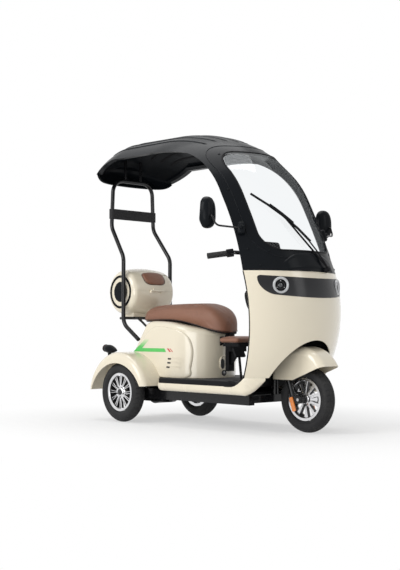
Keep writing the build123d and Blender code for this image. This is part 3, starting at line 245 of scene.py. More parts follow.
# Dark paint on the wheels, the lamp collars and the lock's collar. On the vent slots, the hole in the seat
# box's recess and the keyhole, the same colour is painted shade.
DARK_PAINT_AND_PAINTED_SHADE = finish("dark_paint_and_painted_shade", (0.012, 0.012, 0.013), 0.45, dark_alloy)
HIDE = finish("brown_seat_cover", (0.18, 0.08, 0.05), 0.5, brown_hide, Sheen_Weight=0.08)
PIPING = finish("dark_seat_piping", (0.05, 0.022, 0.015), 0.5, seat_piping)
WEB = finish("woven_strap", (0.02, 0.02, 0.02), 0.85, woven_web)
BAND = finish("smoked_lamp_band", (0.02, 0.02, 0.02), 0.06, smoked,
              Specular_IOR_Level=0.1, Coat_Weight=0.22, Coat_Roughness=0.16)
GRIP = finish("ribbed_grip_rubber", (0.015, 0.015, 0.015), 0.7, ribbed_grip)
MAT = finish("floor_mat_rubber", (0.02, 0.02, 0.02), 0.7, floor_rubber)
STEEL = finish("scuffed_steel", (0.5, 0.5, 0.5), 0.3, steel_scuffed, Metallic=1.0)
AMBER = finish("amber_lens", (0.8, 0.22, 0.02), 0.2, amber_lens, Coat_Weight=1.0)
RED = finish("red_lens", (0.45, 0.01, 0.01), 0.15, red_lens, Coat_Weight=1.0)
LAMP_RING = finish("pale_lamp_ring", (0.45, 0.46, 0.47), 0.32, diffuser, Coat_Weight=0.5)
GREEN_FILM = finish("green_stripe_film", (0.1, 0.5, 0.1), 0.3, film_green)
RED_FILM = finish("red_stripe_film", (0.55, 0.015, 0.02), 0.3, film_red)
SILVER = finish("silvered_glass", (0.82, 0.84, 0.85), 0.03, silvered, Metallic=1.0)
DISPLAY = finish("display_pane", (0.01, 0.012, 0.015), 0.08, display_pane, Coat_Weight=1.0)


def clear_pane(name, tint, gloss):
    """Clear glass: see-through, with a mirror gloss that grows towards the edge of sight."""
    material = bpy.data.materials.new(name)
    material.use_nodes = True
    tree = material.node_tree
    tree.nodes.remove(tree.nodes["Principled BSDF"])
    place = Shade(tree, tree.nodes.new("ShaderNodeTexCoord").outputs["Object"])
    haze = place.noise(3.0, 4.0)
    edge = place.add("Fresnel", IOR=1.45)
    through = place.add("BsdfTransparent", Color=(*tint, 1.0))
    shine = place.add("BsdfGlossy", Color=(0.9, 0.92, 0.93, 1.0), Roughness=0.02)
    mixed = place.add("MixShader", in0=edge * gloss + haze * 0.02, in1=through, in2=shine)
    tree.links.new(mixed.socket, tree.nodes["Material Output"].inputs["Surface"])
    return material


GLASS = clear_pane("clear_screen_glass", (0.955, 0.965, 0.970), 0.05)

NODE_FINISH = {
    CREAM: "front_fender leg_shield rear_fender_left rear_fender_right seat_box side_cover_left "
           "side_cover_right sill_pan tail_box_lid tail_box_shell tail_panel",
    BLACK: "roof_canopy windscreen_frame mirror_shells tail_box_trim tail_lid_trim",
    MOULDED: "inner_shield instrument_pod switch_housings saddle_pan rear_signals wiper child_seat_bracket "
             "brake_pedal battery_pack floor_board",
    FRAME_BLACK: "frame_rails front_frame seat_frame rear_axle trailing_arms roof_hoop tail_rack front_fork "
                 "handlebar mirror_arms rear_dampers brake_levers",
    TYRE: "front_tyre rear_tyre_left rear_tyre_right",
    ALLOY: "front_rim rear_rim_left rear_rim_right",
    STEEL: "front_axle",
    HIDE: "saddle_cushion child_seat_cushion backrest_pad",
    GLASS: "windscreen_glass",
    SILVER: "mirror_glasses",
    LAMP_RING: "headlamps",
    BAND: "light_band",
    AMBER: "fork_reflectors",
    GRIP: "grips",
    WEB: "hoop_strap",
}
for coat, names in NODE_FINISH.items():
    for node_name in names.split():
        nodes[node_name].data.materials.clear()
        nodes[node_name].data.materials.append(coat)


# Mesh helpers

def piece(name, points, faces, coats, body, slot, marks=None, crease=40.0):
    """A mesh object that rides on a body; marks gives each face its coat."""
    mesh = bpy.data.meshes.new(name)
    mesh.from_pydata([tuple(p) for p in points], [], faces)
    mesh.validate()
    shaped = bmesh.new()
    shaped.from_mesh(mesh)
    bmesh.ops.recalc_face_normals(shaped, faces=shaped.faces)
    shaped.to_mesh(mesh)
    shaped.free()
    for coat in coats if isinstance(coats, (list, tuple)) else [coats]:
        mesh.materials.append(coat)
    for k, face in enumerate(mesh.polygons):
        face.use_smooth = True
        face.material_index = marks[k] if marks else 0
    mesh.set_sharp_from_angle(angle=math.radians(crease))
    thing = bpy.data.objects.new(name, mesh)
    scene.collection.objects.link(thing)
    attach(thing, body)
    return thing


class Stock:
    """Points and faces that several parts of one piece add up to."""

    def __init__(self):
        self.points, self.faces, self.marks = [], [], []

    def add(self, points, faces, mark=0):
        base = len(self.points)
        self.points += points
        self.faces += [tuple(base + k for k in face) for face in faces]
        self.marks += [mark] * len(faces)
        return self

    def slab(self, half_x, half_y, corner, thick, place, chamfer=0.0, mark=0):
        """A plate with a rounded outline."""
        return self.add(*plate(round_box(half_x, half_y, corner), thick, place, chamfer), mark=mark)

    def turned(self, profile, steps, place, mark=0):
        """An open profile turned about the place's Z axis."""
        return self.add(*lathe(profile, steps, place, False), mark=mark)

    def split(self, points, faces, columns, bright):
        """A grid's faces, each on its own points: mark 0 on the bright columns, 1 on the others."""
        for face in faces:
            self.add([points[k] for k in face], [(0, 1, 2, 3)], 0 if face[0] % columns in bright else 1)

    def make(self, name, coats, body, slot, crease=40.0):
        return piece(name, self.points, self.faces, coats, body, slot, self.marks, crease)


def around(count):
    """Angles of even steps round a circle."""
    return [2 * math.pi * k / count for k in range(count)]


def bulge(value, power):
    """A sine or cosine raised to a power with its sign kept: a low power squares up the curve."""
    return math.copysign(abs(value) ** power, value)


def mirrored(outline, sign):
    """An outline as it is on the left, or turned over for the right."""
    return [(sign * u, v) for u, v in (outline if sign > 0 else outline[::-1])]


def grid(rows, columns, wrap_rows=False, wrap_columns=False):
    """Faces of a grid of points, rows by columns."""
    faces = []
    for i in range(rows if wrap_rows else rows - 1):
        for j in range(columns if wrap_columns else columns - 1):
            a, b = i * columns, (i + 1) % rows * columns
            k = (j + 1) % columns
            faces.append((a + j, b + j, b + k, a + k))
    return faces


def lathe(profile, steps, place, closed=True):
    """A profile of (radius, height) turned about the local Z axis, then placed."""
    points = []
    for a in around(steps):
        points += [place @ Vector((r * math.cos(a), r * math.sin(a), h)) for r, h in profile]
    return points, grid(steps, len(profile), True, closed)


def pipe(route, radius, sides=10, closed=False):
    """A round pipe along points."""
    route = [Vector(p) for p in route]
    count = len(route)
    points = []
    across = None
    for k, p in enumerate(route):
        after = route[(k + 1) % count] if closed or k + 1 < count else p
        before = route[k - 1] if closed or k else p
        run = (after - before).normalized()
        if across is None:
            across = run.orthogonal().normalized()
        across = (across - run * across.dot(run)).normalized()
        lift = run.cross(across)
        points += [p + (across * math.cos(t) + lift * math.sin(t)) * radius for t in around(sides)]
    faces = grid(count, sides, closed, True)
    if not closed:
        faces += [tuple(range(sides)), tuple(range((count - 1) * sides, count * sides))]
    return points, faces


def plate(outline, thick, place, chamfer=0.0):
    """A flat plate with a chamfered top: outline in local (x, y), placed by a matrix."""
    middle = Vector((sum(p[0] for p in outline), sum(p[1] for p in outline))) / len(outline)
    layers = [(0.0, 0.0), (0.0, thick - chamfer)] + ([(chamfer, thick)] if chamfer else [])
    points = []
    for inset, height in layers:
        for p in outline:
            out = Vector(p) - middle
            q = middle + out * (1 - inset / max(out.length, inset * 2 + 1e-9))
            points.append(place @ Vector((q.x, q.y, height)))
    n = len(outline)
    faces = grid(len(layers), n, False, True)
    faces += [tuple(reversed(range(n))), tuple(range((len(layers) - 1) * n, len(layers) * n))]
    return points, faces


def round_box(half_x, half_y, corner, steps=6):
    """A rounded rectangle outline."""
    outline = []
    for k, (sx, sy) in enumerate(((1, 1), (-1, 1), (-1, -1), (1, -1))):
        for j in range(steps + 1):
            a = math.pi / 2 * (k + j / steps)
            x = sx * (half_x - corner) + corner * math.cos(a)
            y = sy * (half_y - corner) + corner * math.sin(a)
            outline.append((x, y))
    return outline


def facing(origin, normal, up=(0.0, 0.0, 1.0)):
    """A matrix whose local Z is a normal and whose local Y leans to up."""
    z = Vector(normal).normalized()
    x = Vector(up).cross(z).normalized()
    y = z.cross(x)
    turn = Matrix((x, y, z)).transposed().to_4x4()
    return Matrix.Translation(Vector(origin)) @ turn


# Turns local X and Y into depth and height, for plates that stand upright along the machine
UPRIGHT = Matrix(((0, 0, 1, 0), (1, 0, 0, 0), (0, 1, 0, 0), (0, 0, 0, 1)))


# Tyres with road tread

TYRE_R = 0.175
FRONT_HUB = Vector((0.0, -0.675, TYRE_R))
REAR_HUB = {"right": Vector((-0.305, 0.498, TYRE_R)), "left": Vector((0.305, 0.498, TYRE_R))}
TREAD_STEPS = 432
BLOCK_STEPS = 12
GROOVE = 0.0032
TREAD_HALF, TREAD_COLUMNS, TREAD_DROP = 0.0288, 25, 0.0125
SIDEWALL = [(-0.0237, 0.1145), (-0.0285, 0.1165), (-0.0330, 0.1205), (-0.0362, 0.1265), (-0.0366, 0.1270),
            (-0.0376, 0.1300), (-0.0380, 0.1302), (-0.0389, 0.1375), (-0.0389, 0.1440), (-0.0378, 0.1500),
            (-0.0356, 0.1552), (-0.0322, 0.1595)]


def tyre_profile():
    """Outer section of a tyre as (x, radius, whether tread is cut there)."""
    crown = []
    for k in range(TREAD_COLUMNS):
        x = -TREAD_HALF + 0.0024 * k
        crown.append((x, TYRE_R - TREAD_DROP * (x / TREAD_HALF) ** 2, True))
    near = [(x, r, False) for x, r in SIDEWALL]
    return near + crown + [(-x, r, False) for x, r in reversed(SIDEWALL)]


def tread_cut(step, column):
    """How deep the tread is cut at a step round the tyre and a column across it, from 0 to 1."""
    off = column - TREAD_COLUMNS // 2
    wave = (0, 1, 1, 1, 0, 0, 0, -1, -1, -1, 0, 0)[step % BLOCK_STEPS]
    if abs(off - wave) < 1:
        return 1.0
    if abs(off) == 7:
        return 0.85
    lean = (step + (abs(off) // 2) + (6 if off > 0 else 0)) % BLOCK_STEPS
    if 2 <= abs(off) <= 6 and lean in (0, 1):
        return 0.8
    if 8 <= abs(off) <= 12 and lean in (3, 4):
        return 0.9
    return 0.0


def road_tyre(name, body, node, hub):
    rows = tyre_profile()
    first = len(SIDEWALL)
    points = []
    for step, a in enumerate(around(TREAD_STEPS)):
        for k, (x, r, tread) in enumerate(rows):
            r -= GROOVE * tread_cut(step, k - first) if tread else 0.0
            points.append(hub + Vector((x, r * math.sin(a), r * math.cos(a))))
    faces = grid(TREAD_STEPS, len(rows), True, True)
    made = piece(name, points, faces, TYRE, body, "tyre", crease=50.0)
    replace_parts(made, node)


road_tyre("front_tyre_treaded", "front_wheel", "front_tyre", FRONT_HUB)
for side, hub in REAR_HUB.items():
    road_tyre(f"rear_tyre_{side}_treaded", f"rear_wheel_{side}", f"rear_tyre_{side}", hub)


# Cast wheels

LIP = [(0.0960, -0.0270), (0.1120, -0.0270), (0.1120, -0.0240), (0.1037, -0.0235), (0.1037, 0.0235),
       (0.1120, 0.0240), (0.1120, 0.0270), (0.0990, 0.0270), (0.0962, 0.0235), (0.0955, 0.0150),
       (0.0955, -0.0200)]
LIP_BRIGHT = (5, 6, 7, 0, 1, 10)
SPOKE_END, SPOKE_ROOT = 0.097, 0.004
SPOKE_BEVEL, SPOKE_SHOULDER = 0.0016, 0.0022
WHEEL_BOLT = [(0.0, 0.004), (0.0034, 0.004), (0.0044, 0.003), (0.0044, 0.0)]


def wheel_place(hub, sign):
    """Local Z points out of the wheel's face."""
    return Matrix.Translation(hub) @ Matrix.Rotation(math.radians(90.0) * sign, 4, "Y")


def spoke(stock, place, angle, half_in, half_out, style):
    """One spoke: a bright front face with bevelled shoulders and dark sides, from the hub to the ring."""
    inner = style["hub_r"] - SPOKE_ROOT
    turn = Matrix.Rotation(angle, 4, "Z")
    shares = (0.0, 0.35, 0.7, 1.0)
    points = []
    for t in shares:
        r = inner + (SPOKE_END - inner) * t
        half = half_in + (half_out - half_in) * t * t
        z = style["face"] + style["dish"] * (1 - t) ** 2
        edge = [(-half, z - style["deep"]), (-half, z - SPOKE_SHOULDER), (-half + SPOKE_BEVEL, z)]
        section = edge + [(-y, h) for y, h in reversed(edge)]
        points += [place @ turn @ Vector((r, y, h)) for y, h in section]
    stock.split(points, grid(len(shares), len(section), False, True), len(section), (1, 2, 3))


def cast_wheel(name, body, node, hub, sign, spokes, style):
    """A ring with a bright lip, a dark well, spokes in the face plane, hub and cap."""
    place = wheel_place(hub, sign)
    stock = Stock()
    ring_points, ring_faces = lathe(LIP, 96, place)
    stock.split(ring_points, ring_faces, len(LIP), LIP_BRIGHT)
    for a in around(spokes):
        for shift, half_in, half_out in style["arms"]:
            spoke(stock, place, a + shift, half_in, half_out, style)
    face = style["face"] + style["dish"]
    hub_r = style["hub_r"]
    core = [(0.0, face + 0.002), (hub_r * 0.55, face + 0.002), (hub_r * 0.62, face)]
    core += [(hub_r * 0.92, face - 0.001), (hub_r, face - 0.004)]
    core += [(hub_r, -style["back"]), (0.0, -style["back"])]
    stock.turned(core, 48, place)
    cap = [(0.0, face + 0.010), (0.010, face + 0.0095), (0.0165, face + 0.006), (0.018, face + 0.001)]
    stock.turned(cap, 32, place, mark=1)
    for k in range(HUB_BOLTS):
        a = 2 * math.pi * (k + 0.5) / HUB_BOLTS
        spot = (hub_r * 0.76 * math.cos(a), hub_r * 0.76 * math.sin(a), face - 0.001)
        stock.turned(WHEEL_BOLT, 6, place @ Matrix.Translation(spot), mark=1)
    made = stock.make(name, [ALLOY, DARK_PAINT_AND_PAINTED_SHADE], body, "rim_alloy", crease=30.0)
    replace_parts(made, node)


HUB_BOLTS = 5
REAR_STYLE = {"arms": [(-0.075, 0.0026, 0.0030), (0.075, 0.0026, 0.0030)], "face": 0.019, "deep": 0.017,
              "dish": 0.004, "hub_r": 0.040, "back": 0.0255}
FRONT_STYLE = {"arms": [(0.0, 0.0052, 0.0128)], "face": 0.014, "deep": 0.024,
               "dish": 0.006, "hub_r": 0.038, "back": 0.0355}
for side, hub in REAR_HUB.items():
    outward = 1 if side == "left" else -1
    wheel = f"rear_wheel_{side}"
    cast_wheel(f"{wheel}_cast", wheel, f"rear_rim_{side}", hub, outward, 12, REAR_STYLE)
cast_wheel("front_wheel_cast", "front_wheel", "front_rim", FRONT_HUB, -1, 10, FRONT_STYLE)


# Saddle, child seat and backrest pad

SADDLE_NOSE, SADDLE_REAR = -0.103, 0.562
SEAT_LINE = [(-0.160, 0.498), (-0.107, 0.512), (0.021, 0.546), (0.102, 0.566), (0.191, 0.583), (0.306, 0.591),
             (0.448, 0.589), (0.600, 0.587)]


def circle_through(a, b, c):
    """Centre and radius of the circle through three points."""
    ax, ay, bx, by, cx, cy = *a, *b, *c
    d = 2 * (ax * (by - cy) + bx * (cy - ay) + cx * (ay - by))
    ux = ((ax**2 + ay**2) * (by - cy) + (bx**2 + by**2) * (cy - ay) + (cx**2 + cy**2) * (ay - by)) / d
    uy = ((ax**2 + ay**2) * (cx - bx) + (bx**2 + by**2) * (ax - cx) + (cx**2 + cy**2) * (bx - ax)) / d
    return ux, uy, math.hypot(ax - ux, ay - uy)


def seat_height(y):
    """Height of the body under the saddle's edge."""
    return between(SEAT_LINE, y)


def between(table, y):
    """A smooth value from a table of (place, value), by a cubic through its points."""
    y = min(max(y, table[0][0]), table[-1][0])
    k = next(j for j in range(1, len(table)) if y <= table[j][0])
    slopes = []
    for j in (k - 1, k):
        before, after = table[max(j - 1, 0)], table[min(j + 1, len(table) - 1)]
        slopes.append((after[1] - before[1]) / (after[0] - before[0]))
    (y0, v0), (y1, v1) = table[k - 1], table[k]
    t, run = (y - y0) / (y1 - y0), y1 - y0
    bend = v0 * (2 * t**3 - 3 * t**2 + 1) + v1 * (3 * t**2 - 2 * t**3)
    return bend + run * (slopes[0] * (t**3 - 2 * t**2 + t) + slopes[1] * (t**3 - t**2))


def closed_curve(points, steps=6):
    """A smooth closed line through points in a plane."""
    line = []
    n = len(points)
    for k in range(n):
        p0, p1, p2, p3 = (Vector(points[(k + j - 1) % n]) for j in range(4))
        for j in range(steps):
            t = j / steps
            bend = 2 * p1 + (p2 - p0) * t
            bend += (2 * p0 - 5 * p1 + 4 * p2 - p3) * t**2
            bend += (3 * p1 - p0 - 3 * p2 + p3) * t**3
            line.append(0.5 * bend)
    return line


PAD_PRESSURE, PAD_FRAMES = 4.0, 20


def swell(pad, voxel, cap, held):
    """Swell a closed pad by a short cloth run: held tells which points stay, cap how far the others go."""
    coat = pad.data.materials[0]
    remesh = pad.modifiers.new("even", "REMESH")
    remesh.mode = "VOXEL"
    remesh.voxel_size = voxel
    mesh = bpy.data.meshes.new_from_object(pad.evaluated_get(bpy.context.evaluated_depsgraph_get()))
    pad.modifiers.clear()
    pad.data = mesh
    still = [v.co.copy() for v in mesh.vertices]
    group = pad.vertex_groups.new(name="held")
    group.add([k for k, p in enumerate(still) if held(p)], 1.0, "REPLACE")
    cloth = pad.modifiers.new("swell", "CLOTH")
    cloth.settings.use_pressure = True
    cloth.settings.uniform_pressure_force = PAD_PRESSURE
    cloth.settings.effector_weights.gravity = 0.0
    cloth.settings.vertex_group_mass = group.name
    for step in range(1, PAD_FRAMES + 1):
        scene.frame_set(step)
    swollen = pad.evaluated_get(bpy.context.evaluated_depsgraph_get()).data
    moved = [swollen.vertices[k].co - p for k, p in enumerate(still)]
    pad.modifiers.clear()
    pad.vertex_groups.clear()
    scene.frame_set(1)
    for vertex, move in zip(mesh.vertices, moved):
        vertex.co += move * min(1.0, cap / max(move.length, 1e-9))
    mesh.materials.clear()
    mesh.materials.append(coat)
    mesh.shade_smooth()
    pad.modifiers.new("soft", "SUBSURF").render_levels = 1


SADDLE_TOP = [(-0.103, 0.604), (-0.075, 0.634), (-0.030, 0.666), (0.040, 0.686), (0.130, 0.689),
              (0.300, 0.688), (0.420, 0.684), (0.500, 0.673), (0.562, 0.648)]
SADDLE_HALF = [(-0.103, 0.098), (0.020, 0.110), (0.120, 0.126), (0.220, 0.139), (0.562, 0.140)]
SADDLE_SIDES, SADDLE_STATIONS, WELT_STATIONS = 40, 56, 44
NOSE_RUN, NOSE_POWER, REAR_RUN, REAR_POWER = 0.115, 2.5, 0.105, 2.3
SKIRT_GAP, SKIRT_HELD = 0.0028, 0.022


def saddle_ring(y):
    """One cross-section of the saddle: flat under, bulged sides, softly crowned."""
    nose = min(1.0, max(0.0, (y - SADDLE_NOSE) / NOSE_RUN))
    rear = min(1.0, max(0.0, (SADDLE_REAR - y) / REAR_RUN))
    close = (1 - (1 - nose) ** NOSE_POWER) ** (1 / NOSE_POWER)
    close *= (1 - (1 - rear) ** REAR_POWER) ** (1 / REAR_POWER)
    half = between(SADDLE_HALF, y) * max(close, 0.02)
    low = seat_height(y) + SKIRT_GAP
    top = between(SADDLE_TOP, y)
    middle = low + (top - low) * 0.42
    squeeze = (0.30 + 0.70 * close, 0.75 + 0.25 * close)
    ring = []
    for a in around(SADDLE_SIDES):
        c, s = math.cos(a), math.sin(a)
        x = half * bulge(c, 2 / (3.4 if s > 0 else 8.0))
        reach = (top - middle) if s > 0 else (middle - low)
        z = middle + reach * squeeze[s <= 0] * bulge(s, 2 / (2.6 if s > 0 else 8.0))
        ring.append(Vector((x, y, z)))
    return ring


def long_saddle():
    count, stations = SADDLE_SIDES, SADDLE_STATIONS
    points = []
    for k in range(stations):
        t = k / (stations - 1)
        ease = 0.5 - 0.5 * math.cos(math.pi * t)
        points += saddle_ring(SADDLE_NOSE + (SADDLE_REAR - SADDLE_NOSE) * (0.35 * t + 0.65 * ease))
    faces = grid(stations, count, False, True)
    faces += [tuple(range(count)), tuple(reversed(range((stations - 1) * count, stations * count)))]
    made = piece("saddle_padded", points, faces, HIDE, "saddle", "brown_leather", crease=70.0)
    swell(made, voxel=0.006, cap=0.005, held=lambda p: p.z < seat_height(p.y) + SKIRT_HELD)
    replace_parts(made, "saddle_cushion")

    right, left = [], []
    for k in range(WELT_STATIONS):
        share = 0.5 - 0.5 * math.cos(math.pi * k / (WELT_STATIONS - 1))
        y = SADDLE_NOSE + 0.004 + (SADDLE_REAR - SADDLE_NOSE - 0.008) * share
        ring = saddle_ring(y)
        low = min(p.z for p in ring)
        edge = max(p.x for p in ring) * 0.985
        right.append(Vector((edge, y, low + 0.008)))
        left.append(Vector((-edge, y, low + 0.008)))
    piece("saddle_edge_welt", *pipe(right + left[::-1], 0.0022, 8, True), PIPING, "saddle", "brown_leather")

    base = Stock()
    under = [Vector((p.x * 0.93, p.y, seat_height(p.y) + 0.0012)) for p in right + left[::-1]]
    base.add(under + [p + Vector((0.0, 0.0, 0.008)) for p in under], grid(2, len(under), False, True))
    half = len(right)
    base.add(under, [(k, k + 1, 2 * half - 2 - k, 2 * half - 1 - k) for k in range(half - 1)])
    lug = [(-0.100, 0.503), (-0.086, 0.503), (-0.076, 0.522), (-0.060, 0.528), (-0.060, 0.536),
           (-0.098, 0.536), (-0.102, 0.518)]
    base.add(*plate(lug, 0.023, Matrix.Translation((-0.0115, 0, 0)) @ UPRIGHT, 0.001))
    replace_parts(base.make("saddle_base", MOULDED, "saddle", "black_plastic"), "saddle_pan")


long_saddle()


def pad_block(name, half_x, y0, y1, low, top, body, node, power):
    """A low cushion with rounded corners, pulled in between them, and a crowned top."""
    count, layers = 64, 12
    points = []
    middle_y, half_y = (y0 + y1) / 2, (y1 - y0) / 2
    for k in range(layers + 1):
        t = k / layers
        s = math.sin(math.pi * (t - 0.5))
        if t < 0.5:
            shrink, z = (1 - abs(s) ** 6) ** (1 / 6), low + (top - low) * 0.45 * (1 - abs(s) ** 1.6)
        else:
            shrink, z = (1 - abs(s) ** 4.0) ** (1 / 4.0), low + (top - low) * (0.45 + 0.55 * abs(s) ** 1.2)
        for a in around(count):
            pull = 1 - 0.010 * math.cos(4 * a) * shrink
            x = half_x * shrink * pull * bulge(math.cos(a), 2 / power)
            y = middle_y + half_y * shrink * pull * bulge(math.sin(a), 2 / power)
            points.append(Vector((x, y, z)))
    faces = grid(layers + 1, count, False, True)
    made = piece(name, points, faces, HIDE, body, "brown_leather", crease=80.0)
    swell(made, voxel=0.005, cap=0.003, held=lambda p: p.z < low + 0.010)
    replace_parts(made, node)


pad_block("child_seat_padded", 0.111, -0.262, -0.108, 0.4655, 0.502, "chassis", "child_seat_cushion", 7.0)

TAIL_AXIS = Vector((0.0, 0.702, 0.774))
TAIL_R, TAIL_CROWN = 0.148, 0.732


def barrel_radius(x):
    """Radius of the tail box's outer form at a distance from its middle."""
    return TAIL_R - (TAIL_CROWN - math.sqrt(TAIL_CROWN**2 - x**2))


def on_barrel(x, rise, out):
    """A point on the tail box: rise is the angle above the level of its axis, towards the rider."""
    r = barrel_radius(x) + out
    return TAIL_AXIS + Vector((x, -r * math.cos(rise), r * math.sin(rise)))


BACK_RISE, BACK_SPREAD, BACK_SQUARE = 34.6, 17.8, 2 / 3.6
BACK_HALF, BACK_FLARE = 0.084, 0.006


def on_backrest(u, v, half, out):
    """A point of the backrest: u across and v up it, each from -1 to 1."""
    return on_barrel(u * half, math.radians(BACK_RISE + BACK_SPREAD * v), out)


def back_pad():
    """The rider's backrest on the tail box's lid: wider above, rounded corners, crowned."""
    count, rings = 64, 10
    points = []
    for k in range(rings + 1):
        t = k / rings
        for a in around(count) if k else [0.0]:
            u = bulge(math.cos(a), BACK_SQUARE) * t
            v = bulge(math.sin(a), BACK_SQUARE) * t
            out = 0.0005 + 0.0135 * (1 - t**4) ** 0.5 + (0.001 if t < 1 else 0.0)
            points.append(on_backrest(u, v, BACK_HALF + BACK_FLARE * v, out))
    faces = [tuple(1 + k for k in face) for face in grid(rings, count, False, True)]
    faces += [(0, 1 + j, 1 + (j + 1) % count) for j in range(count)]
    faces.append(tuple(range(1 + (rings - 1) * count, 1 + rings * count)))
    made = piece("backrest_padded", points, faces, HIDE, "tail_lid", "brown_leather", crease=80.0)
    swell(made, voxel=0.004, cap=0.003,
          held=lambda p: (p - TAIL_AXIS).yz.length < barrel_radius(p.x) + 0.005)
    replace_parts(made, "backrest_pad")
    rim = []
    for a in around(count):
        u, v = bulge(math.cos(a), BACK_SQUARE), bulge(math.sin(a), BACK_SQUARE)
        rim.append(on_backrest(u, v, BACK_HALF + BACK_FLARE * math.sin(a), 0.0015))
    piece("backrest_edge_welt", *pipe(rim, 0.0018, 8, True), PIPING, "tail_lid", "brown_leather")


back_pad()


# Windscreen frame and roof: the arched strip's own surface

ARCH_R = 0.468
CROWN_START = (-0.737, 0.844, 68.4)
CROWN_RUNS = [(0.5056, 6.5), (0.4428, 39.3), (0.4316, 21.1), (0.330, 0.0), (0.330, 46.0)]


def crown_at(s):
    """Point and tilt on the crown line at a distance along it."""
    y, z, tilt = CROWN_START
    for k, (length, turn) in enumerate(CROWN_RUNS):
        a = math.radians(tilt)
        if s <= length or k == len(CROWN_RUNS) - 1:
            if turn == 0:
                return y + s * math.cos(a), z + s * math.sin(a), a
            bend = length / math.radians(turn)
            b = a - s / bend
            return y + bend * (math.sin(a) - math.sin(b)), z - bend * (math.cos(a) - math.cos(b)), b
        middle = math.radians(tilt - turn / 2)
        chord = length if turn == 0 else 2 * length / math.radians(turn) * math.sin(math.radians(turn / 2))
        y, z, tilt, s = y + chord * math.cos(middle), z + chord * math.sin(middle), tilt - turn, s - length


def on_arch(s, angle, out=0.0):
    """Point and outward normal on the arched strip; angle in degrees from the middle."""
    y, z, tilt = crown_at(s)
    up = Vector((0.0, -math.sin(tilt), math.cos(tilt)))
    a = math.radians(angle)
    normal = up * math.cos(a) + Vector((math.sin(a), 0.0, 0.0))
    return Vector((0.0, y, z)) - up * ARCH_R + normal * (ARCH_R + out), normal


RIB_SINK = 0.0004


def arch_rib(stock, start, end, half, high, base):
    """A low rib with rounded ends along the strip, from (s, angle) to (s, angle), high above base."""
    rows, columns = 40, 7
    points = []
    for k in range(rows):
        t = k / (rows - 1)
        s = start[0] + (end[0] - start[0]) * t
        angle = start[1] + (end[1] - start[1]) * t
        run = min(t, 1 - t) * abs(end[0] - start[0])
        taper = min(1.0, run / (half * 1.6)) ** 0.5
        for j in range(columns):
            v = 2 * j / (columns - 1) - 1
            lift = -RIB_SINK * math.copysign(1, high)
            if abs(v) < 1:
                lift = high * taper * math.cos(v * math.pi / 2) ** 0.8
            swing = math.degrees(v * half * max(taper, 0.05) / ARCH_R)
            points.append(on_arch(s, angle + swing, base + lift)[0])
    stock.add(points, grid(rows, columns))


ROOF_RIBS = [(1.016, 26.0, 1.888, 30.4), (1.008, 18.0, 1.910, 22.4), (0.985, 10.5, 1.926, 13.6),
             (0.955, 3.4, 1.935, 4.6)]


def roof_ribs():
    over, under = Stock(), Stock()
    for s0, a0, s1, a1 in ROOF_RIBS:
        for sign in (-1, 1):
            arch_rib(over, (s0, sign * a0), (s1, sign * a1), 0.010, 0.0045, 0.0)
            arch_rib(under, (s0 + 0.10, sign * a0), (s1, sign * a1), 0.011, -0.004, -0.007)
    over.make("roof_top_ribs", BLACK, "chassis", "black_gloss")
    under.make("roof_under_ribs", MOULDED, "chassis", "black_plastic")


roof_ribs()

ROOF_END, SKIRT_SPAN, SKIRT_LOW = 2.04, 40.5, 1.456


def roof_skirt():
    """The roof's rear rim: its curve carried down to a level edge with a rolled lip."""
    rows, columns = 12, 61
    points, lip = [], []
    for j in range(columns):
        u = 2 * j / (columns - 1) - 1
        top, normal = on_arch(ROOF_END, SKIRT_SPAN * u)
        heading = (top - on_arch(ROOF_END - 0.01, SKIRT_SPAN * u)[0]).normalized()
        foot = SKIRT_LOW + (on_arch(ROOF_END, SKIRT_SPAN)[0].z - 0.006 - SKIRT_LOW) * abs(u) ** 9
        low = Vector((top.x * 0.985, top.y - 0.004, foot))
        bend = top + heading * 0.30 * (top.z - low.z)
        ring = []
        for i in range(rows):
            v = i / (rows - 1)
            out = (normal * (1 - v) + Vector((0.3 * u, 1.0, 0.0)) * v).normalized()
            ring.append((top * (1 - v) ** 2 + bend * 2 * v * (1 - v) + low * v**2, out))
        points += [p for p, _ in ring] + [p - out * 0.007 for p, out in reversed(ring)]
        lip.append(low - ring[-1][1] * 0.0035)
    n = 2 * rows
    faces = grid(columns, n, False, True) + [tuple(range(n)), tuple(range(len(points) - n, len(points)))]
    stock = Stock().add(points, faces).add(*pipe(lip, 0.0062, 12))
    stock.make("roof_rear_skirt", BLACK, "chassis", "black_gloss", crease=50.0)


roof_skirt()

FRAME_BOLTS = [(0.859, 30.4), (0.556, 42.0), (0.178, 43.2), (0.142, 30.4), (0.071, 38.4)]
BOLT_HEAD = [(0.0, 0.0042), (0.003, 0.0038), (0.0052, 0.0024), (0.0062, 0.0)]
BOLT_WASHER = [(0.0062, 0.001), (0.0082, 0.0008), (0.0088, -0.0005)]


def frame_bolts():
    stock = Stock()
    for s, a in FRAME_BOLTS:
        for sign in (-1, 1):
            place = facing(*on_arch(s, sign * a))
            stock.turned(BOLT_HEAD, 20, place)
            stock.turned(BOLT_WASHER, 20, place)
    stock.make("screen_frame_bolts", BLACK, "chassis", "black_gloss")


frame_bolts()


# Headlamps, each about its own axis

LAMP_SPOT = (0.223, 0.768)
SHIELD_AXIS_Y = -0.269
SHIELD_ARC = circle_through((0.462, 0.844), (0.489, 0.650), (0.402, 0.290))


def shield_radius(z):
    return SHIELD_ARC[0] + math.sqrt(SHIELD_ARC[2] ** 2 - (z - SHIELD_ARC[1]) ** 2)


def on_shield(x, z, out=0.0):
    """Point and level normal on the leg shield's barrel."""
    r = shield_radius(z)
    a = math.asin(x / r)
    normal = Vector((math.sin(a), -math.cos(a), 0.0))
    return Vector((0.0, SHIELD_AXIS_Y, z)) + normal * (r + out), normal


